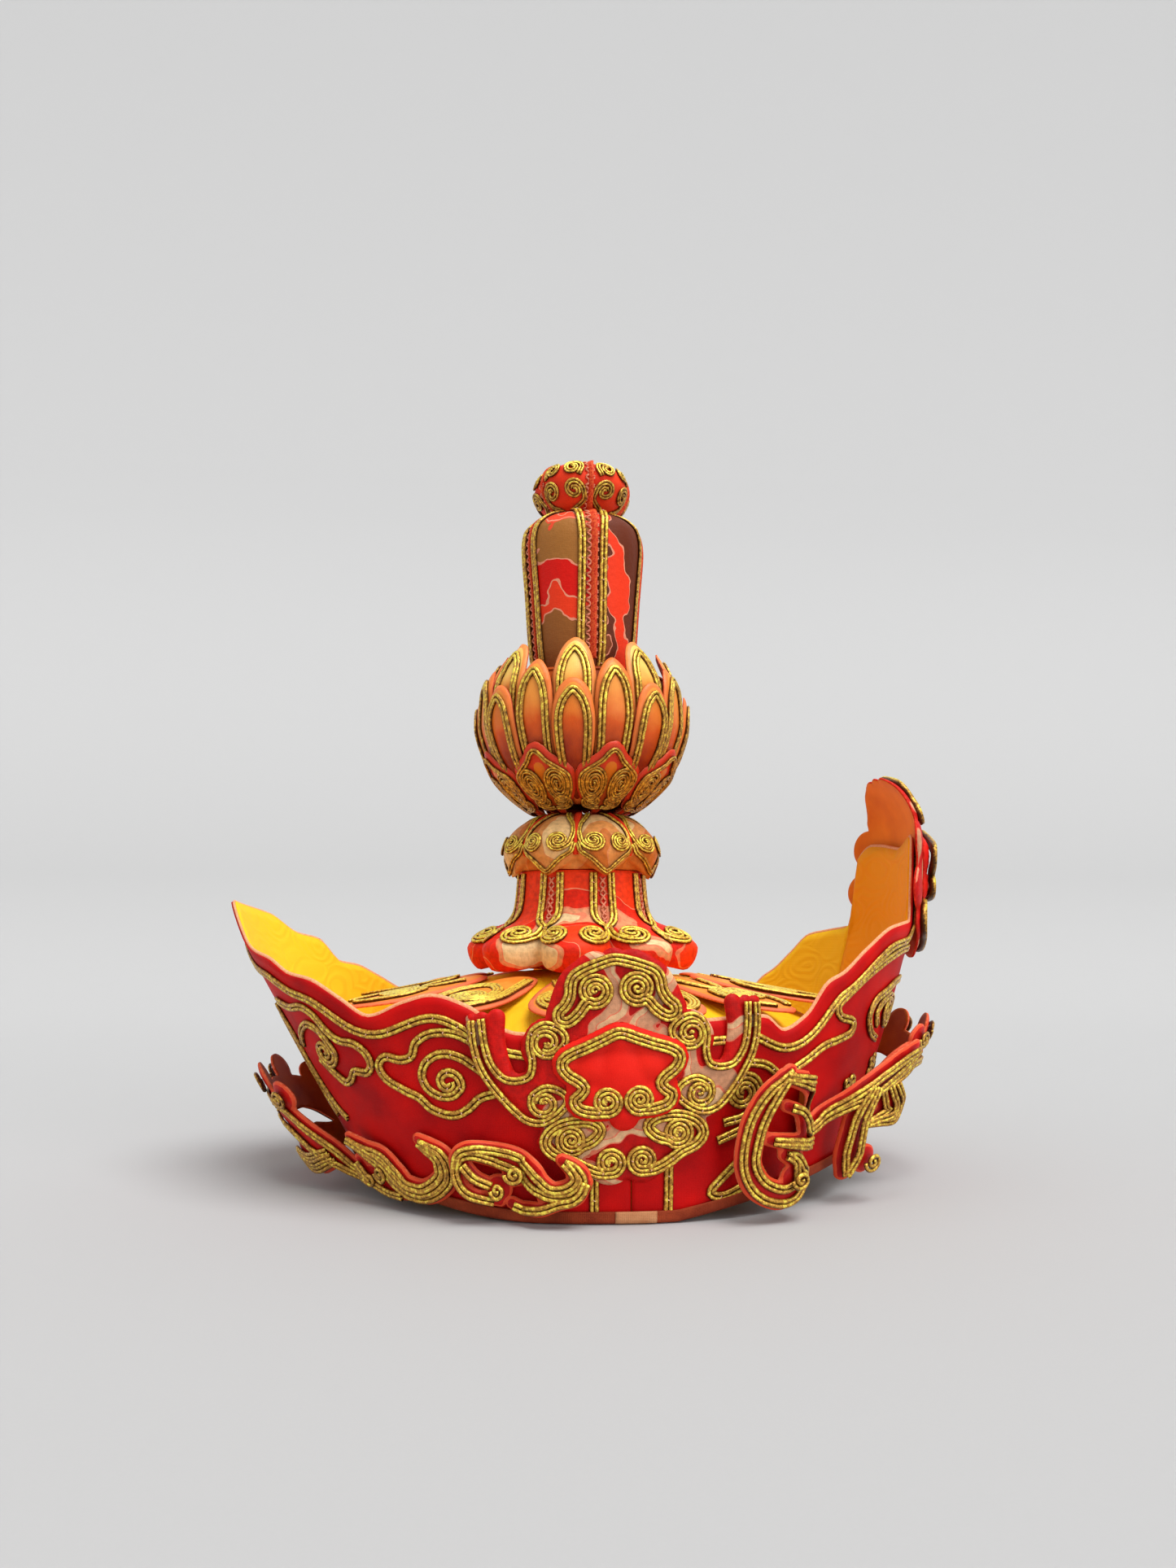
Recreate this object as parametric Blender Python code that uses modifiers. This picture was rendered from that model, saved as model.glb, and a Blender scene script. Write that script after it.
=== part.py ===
"""A monk's ceremonial crown: flared satin wall, dome, padded finial and applied cloud ornaments.

Units are metres, +Z is up, +X is the front of the crown.
The origin is the middle of the head opening, on the surface that the rim rests on.
Turns are degrees round the crown from its front: minus is the wearer's right, plus the left.
"""
import math

import bmesh
import bpy
from mathutils import Vector
from mathutils.geometry import delaunay_2d_cdt

# Head opening and wall
RIM_FRONT = 0.0934
RIM_BACK = 0.0940
RIM_SIDE = 0.0880
FRONT_FLARE = 0.30
BACK_FLARE = 0.533
SIDE_FLARE = 0.05
WALL_HEIGHT = 0.100
WALL = 0.0022
SEAM_TURN = 91.0
REST_FRONT = 0.014
REST_BACK = 0.030
FRONT_LIFT = 0.0150
BACK_LIFT = 0.0120

# Clearance between sewn pieces
GAP = 0.0003

# Binding round the lower edge
BINDING = 0.0010
BINDING_HEIGHT = 0.0045

# Dome and its leaves
DOME_EDGE = 0.050
DOME_RISE = 0.032
DOME = 0.0020
LEAF_COUNT = 12
LEAF_FIRST_TURN = -15.0
LEAF_WIDTH = 0.0290
LEAF = 0.0014
LEAF_SEAT = 2.6 * GAP

# Padded finial
FINIAL_BEHIND = 0.0110
FINIAL_SEAM_TURN = -76.5
LOBE_COUNT = 8
BELL_HEIGHT = 0.0388
BELL_RADIUS = 0.0473
CAP_HEIGHT = 0.0225
CAP_RADIUS = 0.0326
LOTUS_HEIGHT = 0.0660
LOTUS_RADIUS = 0.0425
LOTUS_SEAT = 0.79
CUP_DIP = 0.84
PETAL = 0.0012
PETAL_WIDTH = 0.0172
PETAL_FOOT = 0.10
MIDDLE_TIP = 0.865
OUTER_TIP = 0.715
SEPAL_WIDTH = 0.0270
SEPAL_FOOT = 0.06
SEPAL_TIP = 0.375
VASE_HEIGHT = 0.0680
VASE_RADIUS = 0.0247
VASE_DRAWN_IN = 0.07
BULB_HEIGHT = 0.0200
BULB_RADIUS = 0.0195
BULB_DRAWN_IN = 0.12
PANEL_COUNT = 5
PANEL_SEAM_TURN = -84.0

# Applied ornaments
MEDALLION_HEIGHT = 0.0760
MEDALLION_MIDDLE = 0.0450
MEDALLION_LEAN = 3.5
MEDALLION_BACK_SET = 0.0050
PLAQUE_BELOW_CREST = 0.0136
PLAQUE_LEAN_ABOVE_CREST = 0.0010
PLAQUE_LEAN_RADIUS = 0.0360
ORNAMENT = 0.0018
SCROLL_HEIGHT = 0.0550

# Upper edge of the wall: a row for each crest, step and notch, heights as shares of WALL_HEIGHT.
# fold, right turn, right height, left turn, left height
EDGE = (
    ("front middle", 0, 1.31, 0, 1.31),
    ("lobe crest", 9, 1.35, 11, 1.34),
    ("lobe shoulder", 14, 1.29, 15, 1.29),
    ("lobe foot", 17, 1.01, 17.5, 0.99),
    ("front crest", 23, 0.995, 23, 0.97),
    ("front crest end", 28, 0.98, 28, 0.95),
    ("front slope", 36, 0.90, 32, 0.87),
    ("front notch", 42, 0.82, 36, 0.79),
    ("notch end", 46, 0.79, 39, 0.75),
    ("front foot", 51, 0.68, 43, 0.67),
    ("front low", 57, 0.63, 53, 0.64),
    ("low end", 62, 0.68, 62, 0.67),
    ("side front", 76, 0.67, 76, 0.67),
    ("side middle", 92, 0.62, 92, 0.62),
    ("side back", 114, 0.63, 114, 0.63),
    ("back foot", 118, 0.655, 118, 0.655),
    ("back rise", 123, 0.72, 123, 0.71),
    ("back crest", 129, 0.755, 130, 0.74),
    ("crest end", 134, 0.73, 135, 0.72),
    ("back low", 141, 0.68, 140, 0.69),
    ("low rise", 146, 0.74, 146, 0.76),
    ("first step", 151, 0.80, 150, 0.81),
    ("back notch", 156, 0.82, 154, 0.83),
    ("second step", 160, 0.87, 157, 0.93),
    ("tip foot", 167, 0.90, 162, 0.96),
    ("tip side", 173, 0.95, 167, 1.04),
    ("back tip", 180, 1.08, 180, 1.09),
)

# Padded finial pieces, from the top down: lobe radius and height, then the same between lobes.
BELL = (
    (0.533, 1.000, 0.533, 1.000),
    (0.567, 0.610, 0.567, 0.610),
    (0.634, 0.492, 0.592, 0.480),
    (0.782, 0.415, 0.645, 0.376),
    (0.920, 0.325, 0.677, 0.273),
    (1.000, 0.209, 0.687, 0.196),
    (0.973, 0.080, 0.677, 0.130),
    (0.888, -0.023, 0.655, 0.080),
    (0.825, 0.003, 0.634, 0.054),
    (0.550, 0.041, 0.550, 0.041),
    (0.507, 0.000, 0.507, 0.000),
)
CAP = (
    (0.393, 1.000, 0.393, 1.000),
    (0.583, 0.964, 0.552, 0.920),
    (0.798, 0.809, 0.736, 0.742),
    (0.951, 0.564, 0.844, 0.520),
    (1.000, 0.298, 0.874, 0.364),
    (0.951, 0.053, 0.853, 0.253),
    (0.890, -0.133, 0.828, 0.187),
    (0.844, -0.080, 0.798, 0.142),
    (0.782, 0.000, 0.782, 0.000),
)

# Turned profiles from the bottom up: radius and height, as shares of the piece's own
LOTUS = (
    (0.320, 0.000), (0.460, 0.040), (0.635, 0.120), (0.815, 0.240), (0.940, 0.380),
    (1.000, 0.540), (0.985, 0.715), (0.900, 0.865), (0.790, 1.000),
)
VASE = (
    (0.78, 0.000), (0.87, 0.200), (0.94, 0.520), (1.00, 0.790), (0.96, 0.890), (0.76, 0.965), (0.52, 1.000),
)
BULB = (
    (0.56, 0.000), (0.74, 0.120), (0.93, 0.330), (1.00, 0.530), (0.93, 0.770), (0.66, 0.940), (0.24, 1.000),
)

# Dome leaves: place from the dome's middle to its edge, width as a share of the widest, and how far
# the leaf is raised there, in leaf thicknesses
LEAF_SHAPE = (
    (0.44, 0.60, 0.0), (0.54, 0.81, 0.0), (0.66, 1.00, 0.3), (0.79, 0.78, 0.9), (0.89, 0.0, 1.4),
)

# Petals and sepals: place along the length, and width there as a share of the widest
PETAL_SHAPE = ((0.0, 0.62), (0.28, 0.92), (0.55, 1.0), (0.80, 0.74), (1.0, 0.0))
SEPAL_SHAPE = ((0.0, 0.66), (0.28, 1.0), (0.62, 0.92), (0.84, 0.52), (1.0, 0.0))

# Outline rows of the cloud ornaments: across, up and radius, as shares of MEDALLION_HEIGHT.
# Each row is drawn on both sides of the middle line.
MEDALLION_DISCS = (
    (0.000, 0.560, 0.060), (0.088, 0.495, 0.105), (0.000, 0.270, 0.180), (0.300, 0.205, 0.112),
    (0.130, 0.080, 0.240), (0.335, -0.040, 0.112), (0.110, -0.120, 0.180), (0.232, -0.200, 0.110),
    (0.070, -0.305, 0.104),
)
MEDALLION_WINGS = ((0.080, 0.540, 0.070), (0.170, 0.485, 0.062), (0.235, 0.345, 0.062))
MEDALLION_TAILS = (
    (0.300, 0.205, 0.062), (0.325, 0.070, 0.060), (0.425, 0.022, 0.058), (0.510, 0.110, 0.058),
    (0.530, 0.250, 0.056), (0.500, 0.350, 0.036),
)
INSET_DISCS = (
    (0.000, 0.230, 0.062), (0.000, 0.060, 0.150), (0.130, 0.110, 0.100), (0.225, 0.140, 0.058),
    (0.130, -0.020, 0.095), (0.195, 0.020, 0.055), (0.000, -0.110, 0.070),
)

# Cloud scrolls on the right side: along the wall from the side seam as shares of a quarter of the
# way round (minus is backwards), then up and half width as shares of SCROLL_HEIGHT.
WAVE_BANDS = (
    ((-0.690, 0.43, 0.05), (-0.640, 0.41, 0.11), (-0.575, 0.34, 0.14), (-0.520, 0.24, 0.12),
     (-0.465, 0.19, 0.11), (-0.410, 0.25, 0.11), (-0.395, 0.38, 0.10), (-0.430, 0.47, 0.08),
     (-0.475, 0.50, 0.045)),
)
WAVE_DISCS = ((-0.600, 0.27, 0.13),)
LEAF_BANDS = (
    ((-0.385, 0.38, 0.06), (-0.345, 0.47, 0.09), (-0.275, 0.43, 0.13), (-0.220, 0.27, 0.11),
     (-0.165, 0.19, 0.10), (-0.115, 0.24, 0.085), (-0.125, 0.36, 0.06), (-0.155, 0.42, 0.035)),
    ((-0.355, 0.17, 0.04), (-0.300, 0.14, 0.075), (-0.235, 0.13, 0.080), (-0.190, 0.17, 0.05)),
)
LEAF_DISCS = ((-0.290, 0.24, 0.13), (-0.255, 0.37, 0.13))
CREST_BANDS = (
    ((0.300, 0.93, 0.05), (0.255, 0.75, 0.09), (0.222, 0.55, 0.10), (0.218, 0.38, 0.10),
     (0.240, 0.22, 0.11), (0.290, 0.15, 0.11), (0.332, 0.23, 0.10), (0.325, 0.37, 0.08),
     (0.295, 0.42, 0.05)),
    ((0.285, 0.90, 0.06), (0.350, 0.84, 0.08), (0.380, 0.69, 0.085), (0.392, 0.50, 0.07)),
    ((0.230, 0.49, 0.05), (0.300, 0.49, 0.065), (0.365, 0.47, 0.075), (0.415, 0.53, 0.075),
     (0.495, 0.67, 0.075), (0.560, 0.80, 0.10), (0.625, 0.90, 0.09), (0.690, 1.00, 0.05)),
    ((0.555, 0.78, 0.09), (0.525, 0.56, 0.09), (0.520, 0.35, 0.09), (0.513, 0.20, 0.05)),
)
CREST_DISCS = ((0.330, 0.28, 0.12), (0.575, 0.31, 0.11))
BACK_BANDS = (
    ((-0.690, 0.16, 0.07), (-0.760, 0.19, 0.09), (-0.820, 0.34, 0.13), (-0.880, 0.50, 0.15),
     (-0.940, 0.56, 0.15), (-1.030, 0.58, 0.16)),
    ((-0.800, 0.28, 0.10), (-0.870, 0.20, 0.12), (-0.930, 0.26, 0.08)),
)
BACK_DISCS = ((-0.860, 0.66, 0.10), (-0.960, 0.74, 0.11))
FRONT_BANDS = (
    ((0.640, 0.58, 0.07), (0.690, 0.62, 0.09), (0.740, 0.76, 0.12), (0.790, 0.90, 0.14),
     (0.860, 0.92, 0.14), (0.985, 0.84, 0.16)),
    ((0.745, 0.70, 0.11), (0.770, 0.52, 0.13), (0.715, 0.44, 0.05)),
)
FRONT_DISCS = ((0.800, 1.02, 0.10), (0.900, 1.06, 0.11))

# How far each scroll stands off its seat along its length, as shares of SCROLL_HEIGHT
WAVE_STAND = ((-0.70, 0.07), (-0.60, 0.0), (-0.30, 0.0))
LEAF_STAND = ((-0.40, 0.075), (-0.35, 0.050), (-0.29, 0.0), (-0.24, 0.0), (-0.20, 0.060), (-0.10, 0.070))
CREST_STAND = ((0.20, 0.16), (0.29, 0.20), (0.36, 0.05), (0.39, 0.0), (0.44, 0.0), (0.54, 0.17), (0.70, 0.27))
BACK_STAND = ((-0.68, 0.0), (-0.74, 0.0), (-0.84, 0.21), (-0.93, 0.31), (-1.05, 0.34))
FRONT_STAND = ((0.62, 0.0), (0.69, 0.0), (0.78, 0.20), (0.88, 0.29), (1.00, 0.31))
# Low scrolls are sewn over the binding, the others straight on the wall
OVER_BINDING = BINDING + 2 * GAP
ON_WALL = 2 * GAP

# Fineness: degrees between a sheet's columns, and its rows as shares from foot to top or edge to middle
WALL_STEP = 6.5
WALL_ROWS = (0.0, 0.34, 0.70, 1.0)
DOME_STEP = 12.0
DOME_ROWS = (1.0, 0.88, 0.74, 0.58, 0.36)
BINDING_FRONT_STEP = 8.2
BINDING_SIDE_STEP = 12.0
BINDING_BACK_STEP = 7.2

# Fineness: columns round the padded pieces
BELL_COLUMNS = 40
CAP_COLUMNS = 32
LOTUS_COLUMNS = 32
PANEL_COLUMNS = 5

# Fineness of the flat ornaments' outlines, and of the strips and rows that they bend in
OUTLINE_CELL = 0.0018
OUTLINE_SLACK = 0.32 * OUTLINE_CELL
CORNER_SHARE = 0.15
STRIP = 0.015
ROW = 0.012


def clear_scene():
    for thing in list(bpy.data.objects):
        bpy.data.objects.remove(thing, do_unlink=True)


def cloth(name, colour, roughness, metallic=0.0):
    """A plain fabric colour for the solids."""
    material = bpy.data.materials.new(name)
    material.use_nodes = True
    shader = material.node_tree.nodes["Principled BSDF"]
    shader.inputs["Base Color"].default_value = (*colour, 1.0)
    shader.inputs["Roughness"].default_value = roughness
    shader.inputs["Metallic"].default_value = metallic
    return material


def along(rows, x):
    """Height of the smooth line through rows of (x, y), level at its crests and lows."""
    rows = sorted(rows)
    if x <= rows[0][0]:
        return rows[0][1]
    if x >= rows[-1][0]:
        return rows[-1][1]
    slopes = [(b[1] - a[1]) / (b[0] - a[0]) for a, b in zip(rows, rows[1:])]
    tangents = [slopes[0]]
    for before, after in zip(slopes, slopes[1:]):
        tangents.append(0.0 if before * after <= 0 else 2 * before * after / (before + after))
    tangents.append(slopes[-1])
    i = max(k for k in range(len(rows) - 1) if rows[k][0] <= x)
    (x0, y0), (x1, y1) = rows[i], rows[i + 1]
    h = x1 - x0
    t = (x - x0) / h
    return (y0 * (1 + 2 * t) * (1 - t) ** 2 + tangents[i] * h * t * (1 - t) ** 2
            + y1 * t * t * (3 - 2 * t) + tangents[i + 1] * h * t * t * (t - 1))


def rim_outline(turn, height):
    """Outer face of the wall in plan, at a turn in degrees and a height."""
    c = math.cos(math.radians(turn))
    s = math.sin(math.radians(turn))
    upright = min(height, WALL_HEIGHT)
    reach = RIM_FRONT + FRONT_FLARE * upright if c > 0 else RIM_BACK + BACK_FLARE * height
    side = RIM_SIDE + SIDE_FLARE * height
    power = 2.0 if c > 0 else 2.4
    radius = ((abs(c) / reach) ** power + (abs(s) / side) ** power) ** (-1 / power)
    return Vector((radius * c, radius * s))


def on_wall(turn, height, out=0.0):
    """A point on the wall's outer face, moved level outwards by out."""
    point = rim_outline(turn, height)
    step = rim_outline(turn + 0.01, height) - point
    outwards = Vector((step.y, -step.x)).normalized()
    point = point + out * outwards
    return Vector((point.x, point.y, height))


def rim_lift(turn):
    """How far the lower edge curves up off the surface, towards the front and the back."""
    x = rim_outline(turn, 0.0).x
    if x > REST_FRONT:
        return FRONT_LIFT * (x - REST_FRONT) / (RIM_FRONT - REST_FRONT)
    if x < -REST_BACK:
        return BACK_LIFT * ((-x - REST_BACK) / (RIM_BACK - REST_BACK)) ** 2
    return 0.0


def edge_height(turn):
    """Height of the wall's upper edge."""
    if turn < 0:
        return WALL_HEIGHT * along([(row[1], row[2]) for row in EDGE], -turn)
    return WALL_HEIGHT * along([(row[3], row[4]) for row in EDGE], turn)


def spread(start, end, step):
    """Values from start to end, about a step apart."""
    count = max(1, math.ceil(abs(end - start) / step - 1e-6))
    return [start + (end - start) * i / count for i in range(count + 1)]


def add_mesh(name, bm, material):
    mesh = bpy.data.meshes.new(name)
    bm.to_mesh(mesh)
    bm.free()
    mesh.materials.append(material)
    thing = bpy.data.objects.new(name, mesh)
    PARTS.objects.link(thing)
    mesh.shade_smooth()
    mesh.set_sharp_from_angle(angle=math.radians(40))
    return thing


def grid_mesh(rows, round_closed):
    """Skins rows of points. A row of one point is a tip. Columns run by rising turn."""
    bm = bmesh.new()
    made = [[bm.verts.new(p) for p in row] for row in rows]
    for low, high in zip(made, made[1:]):
        count = max(len(low), len(high))
        for j in range(count if round_closed else count - 1):
            k = (j + 1) % count
            if len(high) == 1:
                bm.faces.new((low[j], low[k], high[0]))
            elif len(low) == 1:
                bm.faces.new((low[0], high[k], high[j]))
            else:
                bm.faces.new((low[j], low[k], high[k], high[j]))
    return bm


def sheet(name, rows, thickness, material, round_closed=False, side=-1):
    """A cloth sheet: the skin of the rows, thickened to one side of its faces."""
    thing = add_mesh(name, grid_mesh(rows, round_closed), material)
    solidify = thing.modifiers.new("thickness", "SOLIDIFY")
    solidify.thickness = thickness
    solidify.offset = side
    return thing


def padded(name, rows, material):
    """A stuffed piece: closed rings from the bottom up, between two middle points."""
    bm = grid_mesh(rows, True)
    bmesh.ops.recalc_face_normals(bm, faces=bm.faces)
    return add_mesh(name, bm, material)


def round_rows(profile, count, radius_at, first_turn=FINIAL_SEAM_TURN):
    """Rings for padded pieces. radius_at gives each station's radius and height."""
    rows = []
    for entry in profile:
        ring = []
        for i in range(count):
            turn = first_turn + 360 * i / count
            radius, height = radius_at(entry, turn)
            ring.append(finial_point(turn, radius, height))
        rows.append(ring)
    return rows


def finial_point(turn, radius, height):
    angle = math.radians(turn)
    return Vector((radius * math.cos(angle) - FINIAL_BEHIND, radius * math.sin(angle), height))


def lobe_share(turn, middle, count, sharp=False):
    """1 in the middle of a lobe, 0 between lobes."""
    pitch = 360 / count
    away = abs((turn - middle + pitch / 2) % pitch - pitch / 2) / (pitch / 2)
    return 1 - away if sharp else math.cos(away * math.pi / 2) ** 0.6


def build_wall(material):
    foot = BINDING + GAP
    right = [-row[1] for row in reversed(EDGE)]
    left = [row[3] for row in EDGE[1:]]
    corners = right + left
    turns = []
    for a, b in zip(corners, corners[1:]):
        turns += spread(a, b, WALL_STEP)[:-1]
    half_gap = math.degrees(GAP / 2 / RIM_SIDE)
    front = [t for t in turns if abs(t) < SEAM_TURN - 1]
    front = [-SEAM_TURN + half_gap] + front + [SEAM_TURN - half_gap]
    back = [t for t in turns if t > SEAM_TURN + 1] + [t + 360 for t in turns if t < -SEAM_TURN - 1]
    back = [SEAM_TURN + half_gap] + back + [360 - SEAM_TURN - half_gap]
    for name, stations in (("wall_front", front), ("wall_back", back)):
        rows = []
        for share in WALL_ROWS:
            row = []
            for station in stations:
                turn = station if station <= 180 else station - 360
                low = rim_lift(turn) + foot
                row.append(on_wall(turn, low + share * (edge_height(turn) - low)))
            rows.append(row)
        sheet(name, rows, WALL, material)


def build_binding(material):
    """A folded strip: its section is a U that the wall's lower edge stands in."""
    inside = WALL * math.hypot(1, BACK_FLARE) + GAP
    section = (
        (GAP + BINDING, 0.0), (GAP + BINDING, BINDING_HEIGHT), (GAP, BINDING_HEIGHT), (GAP, BINDING),
        (-inside, BINDING), (-inside, BINDING_HEIGHT), (-inside - BINDING, BINDING_HEIGHT),
        (-inside - BINDING, 0.0),
    )
    rest_front = math.degrees(math.acos(REST_FRONT / RIM_FRONT))
    rest_back = 180 - math.degrees(math.acos(REST_BACK / RIM_BACK))
    half = spread(0, rest_front, BINDING_FRONT_STEP)
    half += spread(rest_front, rest_back, BINDING_SIDE_STEP)[1:]
    half += spread(rest_back, 180, BINDING_BACK_STEP)[1:]
    turns = half[:-1] + [360 - t for t in reversed(half)][:-1]
    bm = bmesh.new()
    loops = []
    for turn in turns:
        lift = rim_lift(turn)
        loops.append([bm.verts.new(on_wall(turn, lift + up, out)) for out, up in section])
    for here, there in zip(loops, loops[1:] + loops[:1]):
        for j in range(len(section)):
            k = (j + 1) % len(section)
            bm.faces.new((here[j], there[j], there[k], here[k]))
    bmesh.ops.recalc_face_normals(bm, faces=bm.faces)
    add_mesh("rim_binding", bm, material)


def dome_point(turn, share, lift=0.0):
    """On the dome's upper face: share is 0 at its crown under the finial and 1 at its edge."""
    inset = WALL * math.hypot(1, BACK_FLARE) + GAP
    edge = on_wall(turn, DOME_EDGE, -inset)
    middle = -FINIAL_BEHIND * (1 - share)
    height = DOME_EDGE + DOME_RISE * (1 - share ** 2.2) + lift
    return Vector((middle + edge.x * share, edge.y * share, height))


def build_dome(material):
    rows = []
    for share in DOME_ROWS:
        rows.append([dome_point(turn, share) for turn in spread(-180, 180, DOME_STEP)[:-1]])
    rows.append([dome_point(0, 0)])
    sheet("dome", rows, DOME, material, round_closed=True)


def build_dome_leaves(material):
    """Pointed leaves that lie on the dome, a little raised at their outer tips."""
    for i in range(LEAF_COUNT):
        middle = LEAF_FIRST_TURN - 360 * i / LEAF_COUNT
        rows = []
        for share, width, raised in LEAF_SHAPE:
            reach = (dome_point(middle, share) - dome_point(0, 0)).xy.length
            half_turn = math.degrees(LEAF_WIDTH / 2 * width / reach)
            lift = LEAF_SEAT + raised * LEAF
            sides = (0,) if width == 0 else (-1, 0, 1)
            rows.append([dome_point(middle + side * half_turn, share, lift) for side in sides])
        sheet("dome_leaf_%02d" % (i + 1), rows, LEAF, material, side=-1)


def bell_seat():
    return DOME_EDGE + DOME_RISE + GAP


def cap_seat():
    return bell_seat() + BELL_HEIGHT + GAP


def lotus_seat():
    return cap_seat() + CAP_HEIGHT + GAP


def build_bell(material):
    seat = bell_seat()
    middle = FINIAL_SEAM_TURN - 180 / LOBE_COUNT

    def place(entry, turn):
        share = lobe_share(turn, middle, LOBE_COUNT)
        radius = entry[2] + (entry[0] - entry[2]) * share
        height = entry[3] + (entry[1] - entry[3]) * share
        return BELL_RADIUS * radius, seat + BELL_HEIGHT * height

    rows = round_rows(BELL, BELL_COLUMNS, place)
    top = [finial_point(0, 0, seat + BELL_HEIGHT)]
    bottom = [finial_point(0, 0, seat)]
    padded("finial_bell", [top] + rows + [bottom], material)


def build_cap(material):
    seat = cap_seat()

    def place(entry, turn):
        round_share = lobe_share(turn, FINIAL_SEAM_TURN, LOBE_COUNT)
        sharp_share = lobe_share(turn, FINIAL_SEAM_TURN, LOBE_COUNT, sharp=True)
        radius = entry[2] + (entry[0] - entry[2]) * round_share
        height = entry[3] + (entry[1] - entry[3]) * sharp_share
        return CAP_RADIUS * radius, seat + CAP_HEIGHT * height

    rows = round_rows(CAP, CAP_COLUMNS, place)
    top = [finial_point(0, 0, seat + CAP_HEIGHT)]
    bottom = [finial_point(0, 0, seat)]
    padded("finial_cap", [top] + rows + [bottom], material)


def lotus_outline(depth):
    """The lotus profile, moved in by a depth square to its surface: rows of (share, radius, height)."""
    points = [Vector((LOTUS_RADIUS * radius, LOTUS_HEIGHT * up)) for radius, up in LOTUS]
    rows = []
    for i, point in enumerate(points):
        before = (point - points[max(0, i - 1)]).normalized()
        after = (points[min(len(points) - 1, i + 1)] - point).normalized()
        run = (before + after).normalized()
        mitre = 1 / max(0.5, run.dot(after if i == 0 else before))
        moved = point + depth * mitre * Vector((-run.y, run.x))
        rows.append((LOTUS[i][1], moved.x, moved.y))
    return rows


def lotus_point(share, depth):
    """Radius and height of the lotus surface at a share of its height, at a depth inside it."""
    rows = lotus_outline(depth)
    for (s0, r0, h0), (s1, r1, h1) in zip(rows, rows[1:]):
        if share <= s1:
            t = (share - s0) / (s1 - s0)
            return r0 + (r1 - r0) * t, lotus_seat() + h0 + (h1 - h0) * t
    return rows[-1][1], lotus_seat() + rows[-1][2]


def layer_depth(layer):
    """How far a layer of petals lies inside the outer petals."""
    return layer * (PETAL + GAP)


def build_lotus_cup(material):
    """The padded body with its inner petals: a scalloped cup, filled up to the vase's seat."""
    depth = layer_depth(2)
    middle = FINIAL_SEAM_TURN - 180 / LOBE_COUNT

    def outside(share, turn):
        return lotus_point(share, depth)

    def lip(inwards, turn):
        tip = lobe_share(turn, middle, LOBE_COUNT, sharp=True)
        return lotus_point(CUP_DIP + (1 - CUP_DIP) * tip ** 0.7, depth + inwards)

    def inside(share, turn):
        return lotus_point(share, depth + 2 * PETAL)

    def sole(share, turn):
        return LOTUS_RADIUS * share, lotus_seat()

    shares = [up for radius, up in LOTUS if 0 < up < CUP_DIP]
    foot = round_rows((LOTUS[0][0],), LOTUS_COLUMNS, sole)
    body = round_rows(shares, LOTUS_COLUMNS, outside) + round_rows((0.0, PETAL), LOTUS_COLUMNS, lip)
    seat = round_rows((LOTUS_SEAT,), LOTUS_COLUMNS, inside)
    bottom = [finial_point(0, 0, lotus_seat())]
    top = [finial_point(0, 0, lotus_point(LOTUS_SEAT, depth + 2 * PETAL)[1])]
    padded("lotus_cup", [bottom] + foot + body + seat + [top], material)


def build_petals(name, middle, layer, foot, tip, width, shape, material):
    """A ring of petals that follow the lotus body. shape is rows of (share of the length, half width)."""
    shares = [foot] + [up for radius, up in LOTUS if foot < up < tip - 0.03] + [tip]
    if len(shares) < 5:
        shares.insert(-1, (shares[-2] + tip) / 2)
    for i in range(LOBE_COUNT):
        centre = middle - 360 * i / LOBE_COUNT
        rows = []
        for share in shares:
            radius, height = lotus_point(share, layer_depth(layer))
            half = along(shape, (share - foot) / (tip - foot))
            half_turn = math.degrees(width / 2 * half / LOTUS_RADIUS)
            sides = (0,) if share == tip else (-1, -0.35, 0.35, 1)
            rows.append([finial_point(centre + side * half_turn, radius, height) for side in sides])
        sheet("%s_%d" % (name, i + 1), rows, PETAL, material)


def build_lotus_petals(material):
    between = FINIAL_SEAM_TURN - 180 / LOBE_COUNT
    for name, middle, layer, foot, tip, width, shape in (
        ("petal_middle", FINIAL_SEAM_TURN, 1, PETAL_FOOT, MIDDLE_TIP, PETAL_WIDTH, PETAL_SHAPE),
        ("petal_outer", between, 0, PETAL_FOOT, OUTER_TIP, PETAL_WIDTH, PETAL_SHAPE),
        ("sepal", FINIAL_SEAM_TURN, -1, SEPAL_FOOT, SEPAL_TIP, SEPAL_WIDTH, SEPAL_SHAPE),
    ):
        build_petals(name, middle, layer, foot, tip, width, shape, material)


def vase_seat():
    return lotus_point(LOTUS_SEAT, layer_depth(2) + 2 * PETAL)[1] + GAP


def build_vase(material):
    seat = vase_seat()
    build_panelled("finial_vase", VASE, VASE_RADIUS, VASE_HEIGHT, seat, VASE_DRAWN_IN, material)


def build_bulb(material):
    seat = vase_seat() + VASE_HEIGHT + GAP
    build_panelled("finial_bulb", BULB, BULB_RADIUS, BULB_HEIGHT, seat, BULB_DRAWN_IN, material)


def build_panelled(name, profile, radius, height, seat, drawn_in, material):
    """A padded piece of upright panels, drawn in along the seams between them."""
    def place(entry, turn):
        share = lobe_share(turn, PANEL_SEAM_TURN + 180 / PANEL_COUNT, PANEL_COUNT)
        return radius * entry[0] * (1 - drawn_in * (1 - share)), seat + height * entry[1]

    rows = round_rows(profile, PANEL_COLUMNS * PANEL_COUNT, place, PANEL_SEAM_TURN)
    bottom = [finial_point(0, 0, seat)]
    top = [finial_point(0, 0, seat + height)]
    padded(name, [bottom] + rows + [top], material)


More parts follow.
